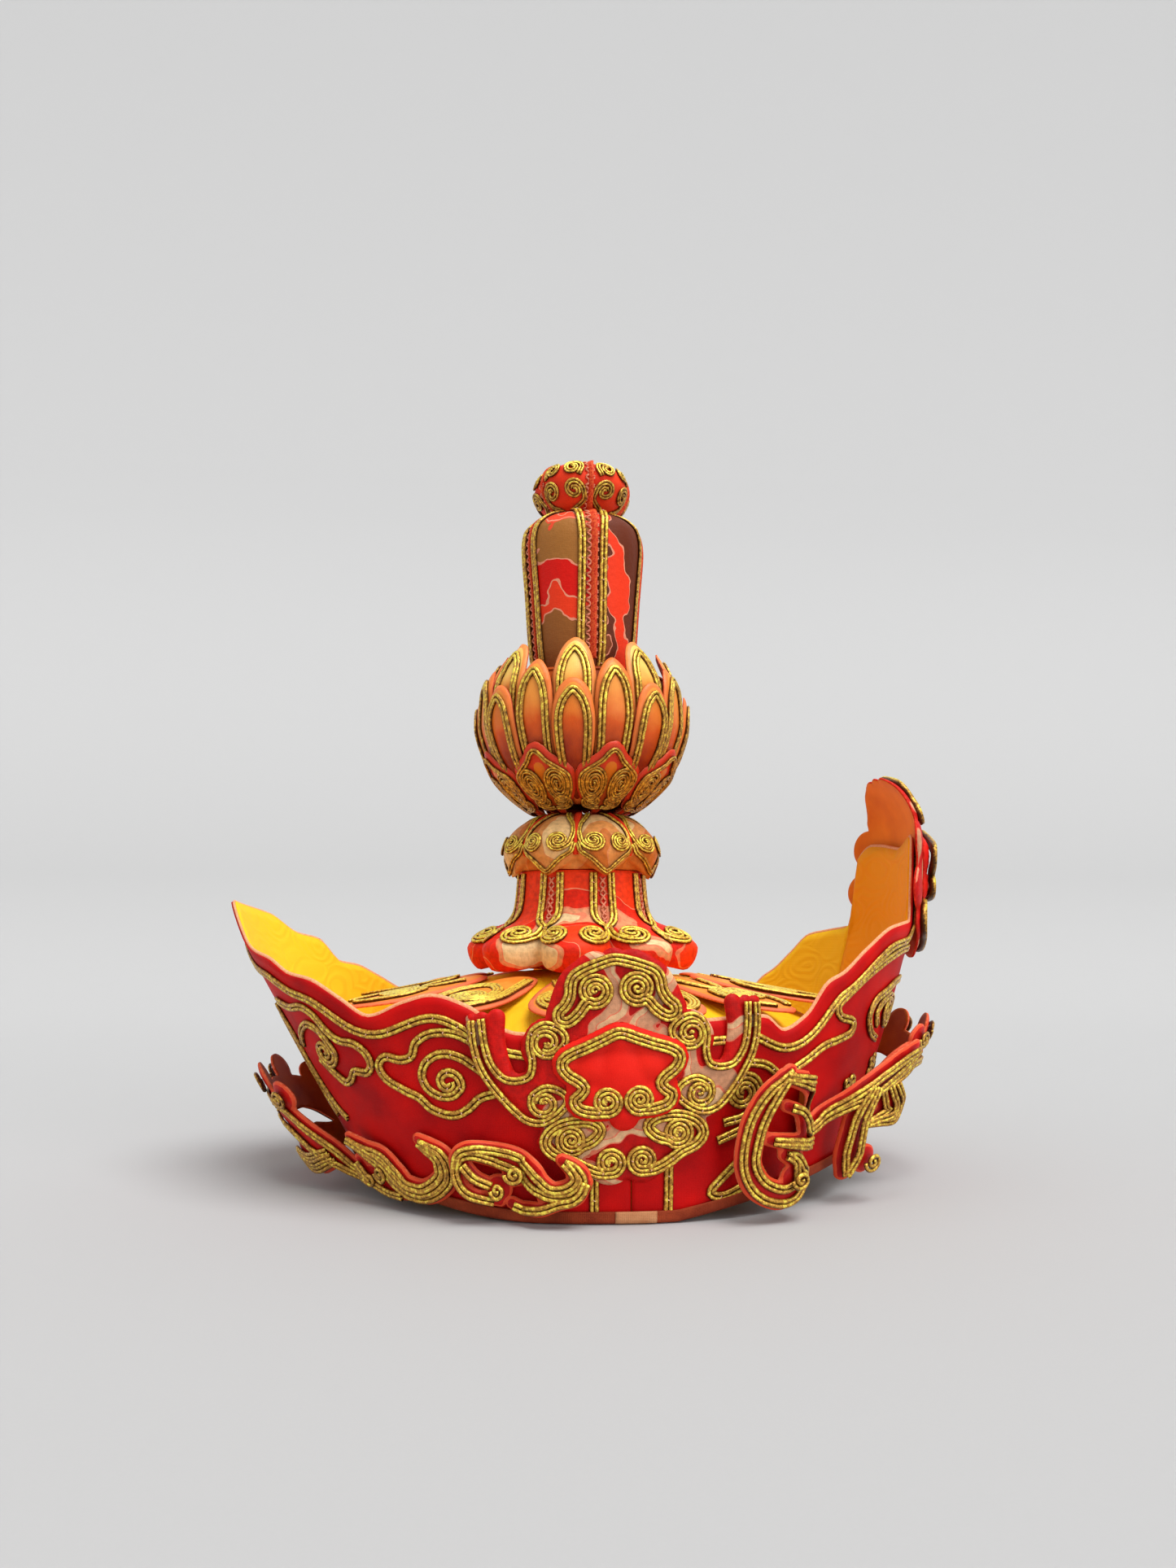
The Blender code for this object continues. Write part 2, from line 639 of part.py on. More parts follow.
def quarter_table():
    """Length along the wall from the right side seam, for each degree of turn."""
    table = []
    length = 0.0
    last = None
    for step in range(0, 181):
        turn = -180 + step
        point = rim_outline(turn, SCROLL_HEIGHT / 2)
        if last is not None:
            length += (point - last).length
        table.append((length, turn))
        last = point
    seam = next(l for l, t in table if t == -90)
    return [(l - seam, t) for l, t in table]


def turn_at(length):
    """The turn that lies a length along the wall from the right side seam."""
    table = QUARTERS
    if length <= table[0][0]:
        return -180 + (table[0][0] - length) / (table[1][0] - table[0][0]) * -1
    if length >= table[-1][0]:
        return (length - table[-1][0]) / (table[-1][0] - table[-2][0])
    for (l0, t0), (l1, t1) in zip(table, table[1:]):
        if l0 <= length <= l1:
            return t0 + (t1 - t0) * (length - l0) / (l1 - l0)


def band_discs(rows, pieces=7):
    """Discs strung close along a curved band. rows are (x, y, half width) on its middle line."""
    discs = []
    for i in range((len(rows) - 1) * pieces + 1):
        discs.append(tuple(along([(k, row[c]) for k, row in enumerate(rows)], i / pieces) for c in range(3)))
    return discs


def outside_by(x, y, discs):
    """Distance from a point to the nearest disc's edge: less than 0 inside the shape."""
    return min(math.hypot(x - cx, y - cy) - radius for cx, cy, radius in discs)


def outlines_of(discs):
    """Closed outlines round the discs, followed on a square grid."""
    low_x = min(x - r for x, y, r in discs) - OUTLINE_CELL
    low_y = min(y - r for x, y, r in discs) - OUTLINE_CELL
    across = math.ceil((max(x + r for x, y, r in discs) - low_x) / OUTLINE_CELL) + 1
    up = math.ceil((max(y + r for x, y, r in discs) - low_y) / OUTLINE_CELL) + 1
    value = [
        [outside_by(low_x + i * OUTLINE_CELL, low_y + j * OUTLINE_CELL, discs) for j in range(up + 1)]
        for i in range(across + 1)
    ]
    places = {}
    joined = {}
    for i in range(across):
        for j in range(up):
            crossings = []
            corners = ((i, j), (i + 1, j), (i + 1, j + 1), (i, j + 1))
            for here, there in zip(corners, corners[1:] + corners[:1]):
                a = value[here[0]][here[1]]
                b = value[there[0]][there[1]]
                if (a < 0) == (b < 0):
                    continue
                key = tuple(sorted((here, there)))
                (i0, j0), (i1, j1) = key
                share = value[i0][j0] / (value[i0][j0] - value[i1][j1])
                share = min(1 - CORNER_SHARE, max(CORNER_SHARE, share))
                cell_x = i0 + share * (i1 - i0)
                cell_y = j0 + share * (j1 - j0)
                places[key] = (low_x + OUTLINE_CELL * cell_x, low_y + OUTLINE_CELL * cell_y)
                crossings.append(key)
            if len(crossings) == 4 and value[i][j] >= 0:
                crossings = crossings[1:] + crossings[:1]
            for one, two in zip(crossings[::2], crossings[1::2]):
                joined.setdefault(one, []).append(two)
                joined.setdefault(two, []).append(one)
    loops = []
    while joined:
        start = next(iter(joined))
        loop = [start]
        here = joined[start][0]
        last = start
        while here != start:
            loop.append(here)
            here, last = next(k for k in joined[here] if k != last), here
        for key in loop:
            del joined[key]
        if len(loop) > 6:
            loops.append(thinned([places[key] for key in loop]))
    return loops


def thinned(loop):
    """Drops the points of a closed outline that lie nearly on the line between their neighbours."""
    def far_point(first, last):
        a = Vector(loop[first])
        line = Vector(loop[last % len(loop)]) - a
        best = (0.0, None)
        for k in range(first + 1, last):
            off = Vector(loop[k]) - a
            away = abs(line.cross(off)) / line.length if line.length > 1e-9 else off.length
            if away > best[0]:
                best = (away, k)
        return best

    def kept(first, last):
        away, k = far_point(first, last)
        if k is None or away < OUTLINE_SLACK:
            return [first]
        return kept(first, k) + kept(k, last)

    half = len(loop) // 2
    return [loop[k] for k in kept(0, half) + kept(half, len(loop))]


def flat_shape(discs, bent_from=None):
    """One flat mesh over the discs, cut into strips so that it can bend round the crown.

    Above bent_from it is cut into rows too, so that it can lean over."""
    verts = []
    edges = []
    for loop in outlines_of(discs):
        first = len(verts)
        verts += [Vector(p) for p in loop]
        edges += [(first + k, first + (k + 1) % len(loop)) for k in range(len(loop))]
    found = delaunay_2d_cdt(verts, edges, [], 0, 1e-7, True)
    bm = bmesh.new()
    made = [bm.verts.new((v.x, v.y, 0.0)) for v in found[0]]
    for face in found[2]:
        middle = sum((found[0][i] for i in face), Vector((0.0, 0.0))) / 3
        if outside_by(middle.x, middle.y, discs) < OUTLINE_CELL * 0.1:
            bm.faces.new([made[i] for i in face])
    low = min(v.co.x for v in bm.verts)
    high = max(v.co.x for v in bm.verts)
    cuts = [((x, 0, 0), (1, 0, 0)) for x in spread(low, high, STRIP)[1:-1]]
    if bent_from is not None:
        top = max(v.co.y for v in bm.verts)
        cuts += [((0, y, 0), (0, 1, 0)) for y in spread(bent_from, top, ROW)[:-1]]
    for place, across in cuts:
        bmesh.ops.bisect_plane(
            bm, geom=bm.verts[:] + bm.edges[:] + bm.faces[:], dist=0.00012, plane_co=place, plane_no=across)
    bmesh.ops.triangulate(bm, faces=bm.faces)
    bmesh.ops.recalc_face_normals(bm, faces=bm.faces)
    if sum(face.normal.z * face.calc_area() for face in bm.faces) < 0:
        bmesh.ops.reverse_faces(bm, faces=bm.faces)
    return bm


def applied(name, bm, place, mirrored, material):
    """Bends a flat shape into place. place gives the point for (along, up)."""
    for vert in bm.verts:
        point = place(vert.co.x, vert.co.y)
        vert.co = Vector((point.x, -point.y, point.z)) if mirrored else point
    thing = add_mesh(name, bm, material)
    solidify = thing.modifiers.new("thickness", "SOLIDIFY")
    solidify.thickness = ORNAMENT
    solidify.offset = -1 if mirrored else 1
    return thing


def both_sides(rows):
    return [row for row in rows] + [(-row[0], *row[1:]) for row in rows]


def medallion_discs(tails=True):
    discs = both_sides(MEDALLION_DISCS) + both_sides(band_discs(MEDALLION_WINGS))
    if tails:
        discs += both_sides(band_discs(MEDALLION_TAILS))
    return scaled(discs, MEDALLION_HEIGHT)


def scaled(discs, size):
    return [(x * size, y * size, radius * size) for x, y, radius in discs]


def medallion_place(out):
    """Side medallion: its middle line leans back a little, and it stands clear of the wall's edge."""
    lean = math.radians(MEDALLION_LEAN)

    def place(x, y):
        length = x * math.cos(lean) - y * math.sin(lean) - MEDALLION_BACK_SET
        height = MEDALLION_MIDDLE + y * math.cos(lean) + x * math.sin(lean)
        return on_wall(turn_at(length), height, out)

    return place


def front_place(x, y):
    """Front plaque: it hangs straight down from the front lobe, and leans in over the lobe's top."""
    crest = edge_height(0)
    height = crest - PLAQUE_BELOW_CREST + y
    leaning = max(0.0, height - crest - PLAQUE_LEAN_ABOVE_CREST) / PLAQUE_LEAN_RADIUS
    out = 4 * GAP - PLAQUE_LEAN_RADIUS * (1 - math.cos(leaning))
    point = on_wall(turn_at(QUARTERS[-1][0] + x), max(height, WALL_HEIGHT), out)
    point.z = height - PLAQUE_LEAN_RADIUS * (leaning - math.sin(leaning))
    return point


def scroll_place(stand, seat):
    def place(x, y):
        return on_wall(turn_at(x), y, seat + SCROLL_HEIGHT * along(stand, x / QUARTER))

    return place


def scroll_discs(bands, discs, middle=None):
    """All discs of a scroll. With a middle, the same again on its other side."""
    rows = list(discs)
    for band in bands:
        rows += band_discs(band)
    if middle is not None:
        rows += [(2 * middle - x, y, radius) for x, y, radius in rows]
    return [(x * QUARTER, y * SCROLL_HEIGHT, radius * SCROLL_HEIGHT) for x, y, radius in rows]


def build_ornaments(brocade, satin, gold):
    for side, mirrored in (("right", False), ("left", True)):
        badge = flat_shape(medallion_discs())
        applied("medallion_" + side, badge, medallion_place(2 * GAP), mirrored, brocade)
        inset = flat_shape(scaled(both_sides(INSET_DISCS), MEDALLION_HEIGHT))
        inset_seat = 4 * GAP + ORNAMENT
        applied("medallion_plaque_" + side, inset, medallion_place(inset_seat), mirrored, satin)
        for name, bands, discs, stand, seat in (
            ("scroll_wave_", WAVE_BANDS, WAVE_DISCS, WAVE_STAND, OVER_BINDING),
            ("scroll_leaf_", LEAF_BANDS, LEAF_DISCS, LEAF_STAND, OVER_BINDING),
            ("scroll_crest_", CREST_BANDS, CREST_DISCS, CREST_STAND, ON_WALL),
        ):
            scroll = flat_shape(scroll_discs(bands, discs))
            applied(name + side, scroll, scroll_place(stand, seat), mirrored, gold)
    bent_from = PLAQUE_BELOW_CREST + PLAQUE_LEAN_ABOVE_CREST
    plaque = flat_shape(medallion_discs(tails=False), bent_from)
    applied("front_plaque", plaque, front_place, False, brocade)
    front = QUARTERS[-1][0] / QUARTER
    back = QUARTERS[0][0] / QUARTER
    front_shape = flat_shape(scroll_discs(FRONT_BANDS, FRONT_DISCS, front))
    applied("scroll_front", front_shape, end_place(FRONT_STAND, ON_WALL, front), False, gold)
    back_shape = flat_shape(scroll_discs(BACK_BANDS, BACK_DISCS, back))
    applied("scroll_back", back_shape, end_place(BACK_STAND, OVER_BINDING, back), False, gold)


def end_place(stand, seat, middle):
    """A scroll that runs round the front or the back, the same on both sides of its middle."""
    def place(x, y):
        share = x / QUARTER
        beyond = (share > middle) if middle > 0 else (share < middle)
        near = 2 * middle - share if beyond else share
        point = on_wall(turn_at(near * QUARTER), y, seat + SCROLL_HEIGHT * along(stand, near))
        return Vector((point.x, -point.y, point.z)) if beyond else point

    return place


clear_scene()
PARTS = bpy.data.collections.new("monk_crown")
bpy.context.scene.collection.children.link(PARTS)
QUARTERS = quarter_table()
QUARTER = (QUARTERS[-1][0] - QUARTERS[0][0]) / 2

RED_SATIN = cloth("red satin", (0.55, 0.005, 0.008), 0.45)
YELLOW_BROCADE = cloth("yellow brocade", (0.95, 0.55, 0.04), 0.6)
BROWN_TAPE = cloth("brown tape", (0.32, 0.09, 0.04), 0.7)
RED_BROCADE = cloth("red brocade", (0.70, 0.12, 0.03), 0.55)
ORANGE_SATIN = cloth("orange satin", (0.72, 0.20, 0.03), 0.45)
GOLD_CORD = cloth("gold cord", (0.60, 0.36, 0.06), 0.4, 0.7)
SALMON_BROCADE = cloth("salmon brocade", (0.75, 0.22, 0.12), 0.55)

build_wall(RED_SATIN)
build_binding(BROWN_TAPE)
build_dome(YELLOW_BROCADE)
build_dome_leaves(ORANGE_SATIN)
build_bell(RED_BROCADE)
build_cap(RED_BROCADE)
build_lotus_cup(ORANGE_SATIN)
build_lotus_petals(ORANGE_SATIN)
build_vase(RED_BROCADE)
build_bulb(RED_BROCADE)
build_ornaments(SALMON_BROCADE, RED_SATIN, GOLD_CORD)
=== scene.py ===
import math

import bpy
import numpy as np
from mathutils import Matrix, Vector


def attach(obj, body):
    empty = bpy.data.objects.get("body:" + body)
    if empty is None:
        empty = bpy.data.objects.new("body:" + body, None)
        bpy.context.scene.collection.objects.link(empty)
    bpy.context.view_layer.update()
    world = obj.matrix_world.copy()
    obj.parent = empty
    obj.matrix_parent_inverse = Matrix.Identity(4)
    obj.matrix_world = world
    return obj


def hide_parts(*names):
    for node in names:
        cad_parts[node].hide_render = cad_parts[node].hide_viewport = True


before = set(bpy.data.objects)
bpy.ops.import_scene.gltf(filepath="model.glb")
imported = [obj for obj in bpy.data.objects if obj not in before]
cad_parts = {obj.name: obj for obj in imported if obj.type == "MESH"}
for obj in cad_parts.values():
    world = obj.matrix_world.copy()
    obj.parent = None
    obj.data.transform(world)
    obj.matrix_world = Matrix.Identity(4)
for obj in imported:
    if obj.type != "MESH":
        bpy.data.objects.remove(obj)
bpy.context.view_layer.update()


# Studio
# A pale seamless paper sweep under soft lights, seen from where the photograph was taken:
# level with the lower third of the crown and 46 cm from its finial.
PHOTO_WIDE = 1445
PHOTO_TALL = 1927
FOCAL_PIXELS = 1380
CENTRE_PIXELS = (715, 1142)
CAMERA_AT = (-0.0471, -0.4586, 0.098)
CAMERA_TURN = -4.5
SWEEP_RADIUS = 0.9
SWEEP_BACK = 1.5
SWEEP_FRONT = -3.0
SWEEP_TALL = 3.5
SWEEP_HALF = 5.0
ROOM = ((0.0, "#383838"), (0.5, "#646464"), (0.62, "#949494"), (1.0, "#CCCCCC"))
# the paper's tone from the floor, which the lamps light most, up to the top of the sweep
PAPER = ((0.0, "#B7B7B7"), (0.2, "#AFAFAF"), (0.9, "#D1D1D1"), (1.0, "#D7D7D7"))
# name, where it shines from, strength, angle
LAMPS = (
    ("overhead_diffuser", (0.25, -0.30, 1.0), 2.6, 38.0),
    ("front_fill", (0.75, -1.0, 0.25), 1.10, 45.0),
    ("side_fill", (-1.0, -0.45, 0.35), 0.40, 60.0),
)


def linear(colour):
    """The linear values of an sRGB hex colour."""
    parts = [int(colour[i:i + 2], 16) / 255 for i in (1, 3, 5)]
    return tuple(p / 12.92 if p <= 0.04045 else ((p + 0.055) / 1.055) ** 2.4 for p in parts) + (1.0,)


def add(material, kind, links=None, stops=(), **settings):
    """Adds a shader node with its settings. links gives each input a socket or a value."""
    node = material.node_tree.nodes.new(kind)
    for key, value in settings.items():
        setattr(node, key, value)
    for i, (place, colour) in enumerate(stops):
        stop = node.color_ramp.elements[i] if i < 2 else node.color_ramp.elements.new(place)
        stop.position = place
        stop.color = linear(colour)
    for key, value in (links or {}).items():
        if isinstance(value, bpy.types.NodeSocket):
            material.node_tree.links.new(value, node.inputs[key])
        else:
            node.inputs[key].default_value = value
    return node


def cloth_material(name, **values):
    """A Principled material and its shader. values are constants for the sockets, _ for spaces."""
    material = bpy.data.materials.new(name)
    material.use_nodes = True
    shader = material.node_tree.nodes["Principled BSDF"]
    for key, value in values.items():
        shader.inputs[key.replace("_", " ")].default_value = value
    return material, shader


def wire(material, output, shader, name):
    """Links an output to the shader's input of that name."""
    material.node_tree.links.new(output, shader.inputs[name])


def mesh_piece(name, points, faces, uvs=None, materials=(), face_materials=None):
    """A smooth-shaded object. uvs holds one pair, in metres of cloth, for each corner of each face."""
    mesh = bpy.data.meshes.new(name)
    mesh.from_pydata(np.asarray(points, dtype=float).tolist(), [], faces)
    if uvs is not None:
        layer = mesh.uv_layers.new(name="cloth")
        layer.data.foreach_set("uv", np.asarray(uvs, dtype=np.float32).ravel())
    for material in materials:
        mesh.materials.append(material)
    if face_materials is not None:
        mesh.polygons.foreach_set("material_index", np.asarray(face_materials, dtype=np.int32))
    mesh.shade_smooth()
    piece = bpy.data.objects.new(name, mesh)
    bpy.context.scene.collection.objects.link(piece)
    return piece


camera_data = bpy.data.cameras.new("camera")
camera_data.sensor_width = 36.0
camera_data.lens = FOCAL_PIXELS / PHOTO_TALL * camera_data.sensor_width
camera_data.shift_x = (PHOTO_WIDE / 2 - CENTRE_PIXELS[0]) / PHOTO_TALL
camera_data.shift_y = (CENTRE_PIXELS[1] - PHOTO_TALL / 2) / PHOTO_TALL
camera_data.clip_start = 0.01
camera = bpy.data.objects.new("camera", camera_data)
camera.location = CAMERA_AT
camera.rotation_euler = (math.pi / 2, 0.0, math.radians(CAMERA_TURN))
bpy.context.scene.collection.objects.link(camera)
bpy.context.scene.camera = camera

# matt paper: no gloss, and a tooth so fine that it shows only as a faint speckle
paper, paper_shader = cloth_material("seamless paper, matt", Roughness=0.9)
place = add(paper, "ShaderNodeTexCoord")
speckle = add(paper, "ShaderNodeTexNoise", {"Vector": place.outputs["Object"], "Scale": 900.0, "Detail": 3.0})
parts = add(paper, "ShaderNodeSeparateXYZ", {0: place.outputs["Object"]})
rise = add(paper, "ShaderNodeMapRange", {"Value": parts.outputs["Z"], 1: 0.0, 2: SWEEP_RADIUS, 4: 0.9})
mixed = add(paper, "ShaderNodeMath", {0: speckle.outputs["Fac"], 1: 0.05, 2: rise.outputs[0]},
            operation="MULTIPLY_ADD")
tone = add(paper, "ShaderNodeValToRGB", {"Fac": mixed.outputs[0]}, stops=PAPER)
wire(paper, tone.outputs["Color"], paper_shader, "Base Color")

profile = [(SWEEP_FRONT, 0.0), (0.0, 0.0), (SWEEP_BACK - SWEEP_RADIUS, 0.0)]
for step in range(1, 17):
    angle = math.pi / 2 * step / 16
    profile.append((SWEEP_BACK - SWEEP_RADIUS + SWEEP_RADIUS * math.sin(angle),
                    SWEEP_RADIUS - SWEEP_RADIUS * math.cos(angle)))
profile.append((SWEEP_BACK, SWEEP_TALL))
sweep_points = [(x, y, z) for y, z in profile for x in (-SWEEP_HALF, SWEEP_HALF)]
sweep_faces = [(2 * i, 2 * i + 1, 2 * i + 3, 2 * i + 2) for i in range(len(profile) - 1)]
mesh_piece("studio_sweep", sweep_points, sweep_faces, materials=[paper])

world = bpy.data.worlds.new("studio")
world.use_nodes = True
room = world.node_tree.nodes["Background"]
above = add(world, "ShaderNodeTexCoord")
height = add(world, "ShaderNodeSeparateXYZ", {0: above.outputs["Generated"]})
share = add(world, "ShaderNodeMapRange", {"Value": height.outputs["Z"], 1: -1.0, 2: 1.0})
glow = add(world, "ShaderNodeValToRGB", {"Fac": share.outputs[0]}, stops=ROOM)
world.node_tree.links.new(glow.outputs["Color"], room.inputs["Color"])
bpy.context.scene.world = world
bpy.context.scene.view_settings.view_transform = "Standard"

for name, shines_from, strength, angle in LAMPS:
    lamp = bpy.data.lights.new(name, "SUN")
    lamp.energy = strength
    lamp.angle = math.radians(angle)
    hung = bpy.data.objects.new(name, lamp)
    hung.rotation_euler = Vector(shines_from).to_track_quat("Z", "Y").to_euler()
    bpy.context.scene.collection.objects.link(hung)


# Wall
# Two stiffened panels, front and back, sewn together at the side seams: red satin outside and a
# yellow brocade lining inside, turned over a fine piped edge along the scalloped top.
RIM_FRONT = 0.0934
RIM_BACK = 0.0940
RIM_SIDE = 0.0880
FRONT_FLARE = 0.30
BACK_FLARE = 0.533
SIDE_FLARE = 0.05
WALL_HEIGHT = 0.100
WALL = 0.0022
SEAM_TURN = 91.0
REST_FRONT = 0.014
REST_BACK = 0.030
FRONT_LIFT = 0.0150
BACK_LIFT = 0.0120
GAP = 0.0003
BINDING = 0.0010
LINING_FROM = 0.0012
SATIN = 0.0009
LOBE_LINING = 17.2
RIPPLE = 0.00035
# fold, right turn, right height, left turn, left height: heights as shares of WALL_HEIGHT
EDGE = (
    ("front middle", 0, 1.31, 0, 1.31),
    ("lobe crest", 9, 1.35, 11, 1.34),
    ("lobe shoulder", 14, 1.29, 15, 1.29),
    ("lobe foot", 17, 1.01, 17.5, 0.99),
    ("front crest", 23, 0.995, 23, 0.97),
    ("front crest end", 28, 0.98, 28, 0.95),
    ("front slope", 36, 0.90, 32, 0.87),
    ("front notch", 42, 0.82, 36, 0.79),
    ("notch end", 46, 0.79, 39, 0.75),
    ("front foot", 51, 0.68, 43, 0.67),
    ("front low", 57, 0.63, 53, 0.64),
    ("low end", 62, 0.68, 62, 0.67),
    ("side front", 76, 0.67, 76, 0.67),
    ("side middle", 92, 0.62, 92, 0.62),
    ("side back", 114, 0.63, 114, 0.63),
    ("back foot", 118, 0.655, 118, 0.655),
    ("back rise", 123, 0.72, 123, 0.71),
    ("back crest", 129, 0.755, 130, 0.74),
    ("crest end", 134, 0.73, 135, 0.72),
    ("back low", 141, 0.68, 140, 0.69),
    ("low rise", 146, 0.74, 146, 0.76),
    ("first step", 151, 0.80, 150, 0.81),
    ("back notch", 156, 0.82, 154, 0.83),
    ("second step", 160, 0.87, 157, 0.93),
    ("tip foot", 167, 0.90, 162, 0.96),
    ("tip side", 173, 0.95, 167, 1.04),
    ("back tip", 180, 1.08, 180, 1.09),
)


def smooth_line(rows, x):
    """Heights of the smooth line through rows of (x, y), level at its crests and lows."""
    rows = np.asarray(sorted(rows), dtype=float)
    xs, ys = rows[:, 0], rows[:, 1]
    slopes = np.diff(ys) / np.diff(xs)
    before, after = slopes[:-1], slopes[1:]
    total = np.where(before + after == 0, 1, before + after)
    inner = np.where(before * after <= 0, 0, 2 * before * after / total)
    tangents = np.concatenate(([slopes[0]], inner, [slopes[-1]]))
    x = np.clip(x, xs[0], xs[-1])
    i = np.clip(np.searchsorted(xs, x, side="right") - 1, 0, len(xs) - 2)
    h = xs[i + 1] - xs[i]
    t = (x - xs[i]) / h
    return (ys[i] * (1 + 2 * t) * (1 - t) ** 2 + tangents[i] * h * t * (1 - t) ** 2
            + ys[i + 1] * t * t * (3 - 2 * t) + tangents[i + 1] * h * t * t * (t - 1))


def rim_outline(turn, height):
    """Outer face of the wall in plan, at turns in degrees and heights."""
    c = np.cos(np.radians(turn))
    s = np.sin(np.radians(turn))
    front = RIM_FRONT + FRONT_FLARE * np.minimum(height, WALL_HEIGHT)
    reach = np.where(c > 0, front, RIM_BACK + BACK_FLARE * height)
    side = RIM_SIDE + SIDE_FLARE * height
    # an ellipse in front, a little squarer behind
    power = np.where(c > 0, 2.0, 2.4)
    radius = ((np.abs(c) / reach) ** power + (np.abs(s) / side) ** power) ** (-1 / power)
    return radius * c, radius * s


def on_wall(turn, height, out=0.0):
    """Points on the wall's outer face, moved level outwards by out."""
    turn, height, out = np.broadcast_arrays(*(np.asarray(v, dtype=float) for v in (turn, height, out)))
    x, y = rim_outline(turn, height)
    x_on, y_on = rim_outline(turn + 0.01, height)
    run_x, run_y = x_on - x, y_on - y
    length = np.hypot(run_x, run_y)
    return np.stack([x + out * run_y / length, y - out * run_x / length, height], axis=-1)


def rim_lift(turn):
    """How far the lower edge curves up off the floor, towards the front and the back."""
    x = rim_outline(turn, 0.0 * turn)[0]
    front = FRONT_LIFT * np.clip((x - REST_FRONT) / (RIM_FRONT - REST_FRONT), 0, None)
    back = BACK_LIFT * np.clip((-x - REST_BACK) / (RIM_BACK - REST_BACK), 0, None) ** 2
    return front + back


def edge_height(turn):
    """Height of the wall's upper edge."""
    turn = (np.asarray(turn, dtype=float) + 180) % 360 - 180
    right = smooth_line([(row[1], row[2]) for row in EDGE], -turn)
    left = smooth_line([(row[3], row[4]) for row in EDGE], turn)
    return WALL_HEIGHT * np.where(turn < 0, right, left)


# lengths round the wall at half of the scrolls' height, from the right side seam
ROUND_TURNS = np.arange(-400.0, 221.0, 0.5)
SCROLL_HEIGHT = 0.0550
round_x, round_y = rim_outline(ROUND_TURNS, 0 * ROUND_TURNS + SCROLL_HEIGHT / 2)
ROUND_LENGTHS = np.concatenate(([0], np.cumsum(np.hypot(np.diff(round_x), np.diff(round_y)))))
ROUND_LENGTHS -= np.interp(-90, ROUND_TURNS, ROUND_LENGTHS)
TO_FRONT = np.interp(0, ROUND_TURNS, ROUND_LENGTHS)
TO_BACK = np.interp(-180, ROUND_TURNS, ROUND_LENGTHS)
QUARTER = (TO_FRONT - TO_BACK) / 2


def turn_at(length):
    """The turn a length along the wall from the right side seam, forwards."""
    return np.interp(length, ROUND_LENGTHS, ROUND_TURNS)


def length_at(turn):
    """The length along the wall at a turn, the other way round."""
    return np.interp(turn, ROUND_TURNS, ROUND_LENGTHS)


def grid_faces(rows, columns, closed=False):
    """Faces of a grid of points, and the row and column of each of their corners."""
    faces = []
    corners = []
    for i in range(rows - 1):
        for j in range(columns if closed else columns - 1):
            k = (j + 1) % columns
            faces.append((i * columns + j, i * columns + k, (i + 1) * columns + k, (i + 1) * columns + j))
            corners += [(i, j), (i, j + 1), (i + 1, j + 1), (i + 1, j)]
    return faces, np.array(corners)


def grid_piece(name, points, cloth, materials, closed=False, thick=0.0):
    """A cloth sheet from a grid of points (rows, columns, 3), with its place on the cloth in cloth."""
    rows, columns = points.shape[:2]
    faces, corners = grid_faces(rows, columns, closed)
    piece = mesh_piece(name, points.reshape(-1, 3), faces, cloth[corners[:, 0], corners[:, 1]], materials)
    if thick:
        wall = piece.modifiers.new("thickness", "SOLIDIFY")
        wall.thickness = thick
        wall.offset = -1
    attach(piece, "root")
    return piece


def wave_scale(millimetres):
    """The Wave texture's scale for bands that are this far apart."""
    return math.pi / 10 / (millimetres / 1000)


def weave(material, shader, thread, depth, base=None):
    """Crossing threads as bump, at the given thread spacing in mm."""
    cloth = add(material, "ShaderNodeUVMap", uv_map="cloth")
    warp = add(material, "ShaderNodeTexWave", {"Vector": cloth.outputs[0], "Scale": wave_scale(thread),
               "Distortion": 0.6, "Detail": 1.0}, bands_direction="X")
    weft = add(material, "ShaderNodeTexWave", {"Vector": cloth.outputs[0], "Scale": wave_scale(thread),
               "Distortion": 0.6, "Detail": 1.0}, bands_direction="Y")
    both = add(material, "ShaderNodeMath", {0: warp.outputs["Fac"], 1: weft.outputs["Fac"]},
               operation="MULTIPLY")
    links = {"Height": both.outputs[0], "Distance": depth, "Strength": 0.6}
    if base is not None:
        links["Normal"] = base
    bump = add(material, "ShaderNodeBump", links)
    wire(material, bump.outputs[0], shader, "Normal")


def mottled(material, scale, deep, bright, detail=2.0, low=0.3, high=0.7):
    """Cloudy wear and dye: where it is on the piece, how strong, and its colour between two tones."""
    place = add(material, "ShaderNodeTexCoord")
    clouds = add(material, "ShaderNodeTexNoise", {"Vector": place.outputs["Object"], "Scale": scale,
                                                  "Detail": detail})
    tone = add(material, "ShaderNodeValToRGB", {"Fac": clouds.outputs["Fac"]},
               stops=((low, deep), (high, bright)))
    return place.outputs["Object"], clouds.outputs["Fac"], tone.outputs["Color"]


def red_satin(name, bright, deep):
    """Silk satin, dyed deep: long floats over a fine weave, in a cloudy, uneven tone.
    The weave is 0.2 mm, drawn at 0.6 mm so that it shows."""
    material, shader = cloth_material(name, Roughness=0.58, Specular_IOR_Level=0.14)
    place, _, tone = mottled(material, 55.0, deep, bright, detail=4.0, high=0.68)
    wire(material, tone, shader, "Base Color")
    folds = add(material, "ShaderNodeTexNoise", {"Vector": place, "Scale": 38.0, "Detail": 2.0})
    soft = add(material, "ShaderNodeBump", {"Height": folds.outputs["Fac"], "Distance": 0.0012,
                                            "Strength": 0.35})
    weave(material, shader, 0.6, 0.00005, soft.outputs[0])
    return material


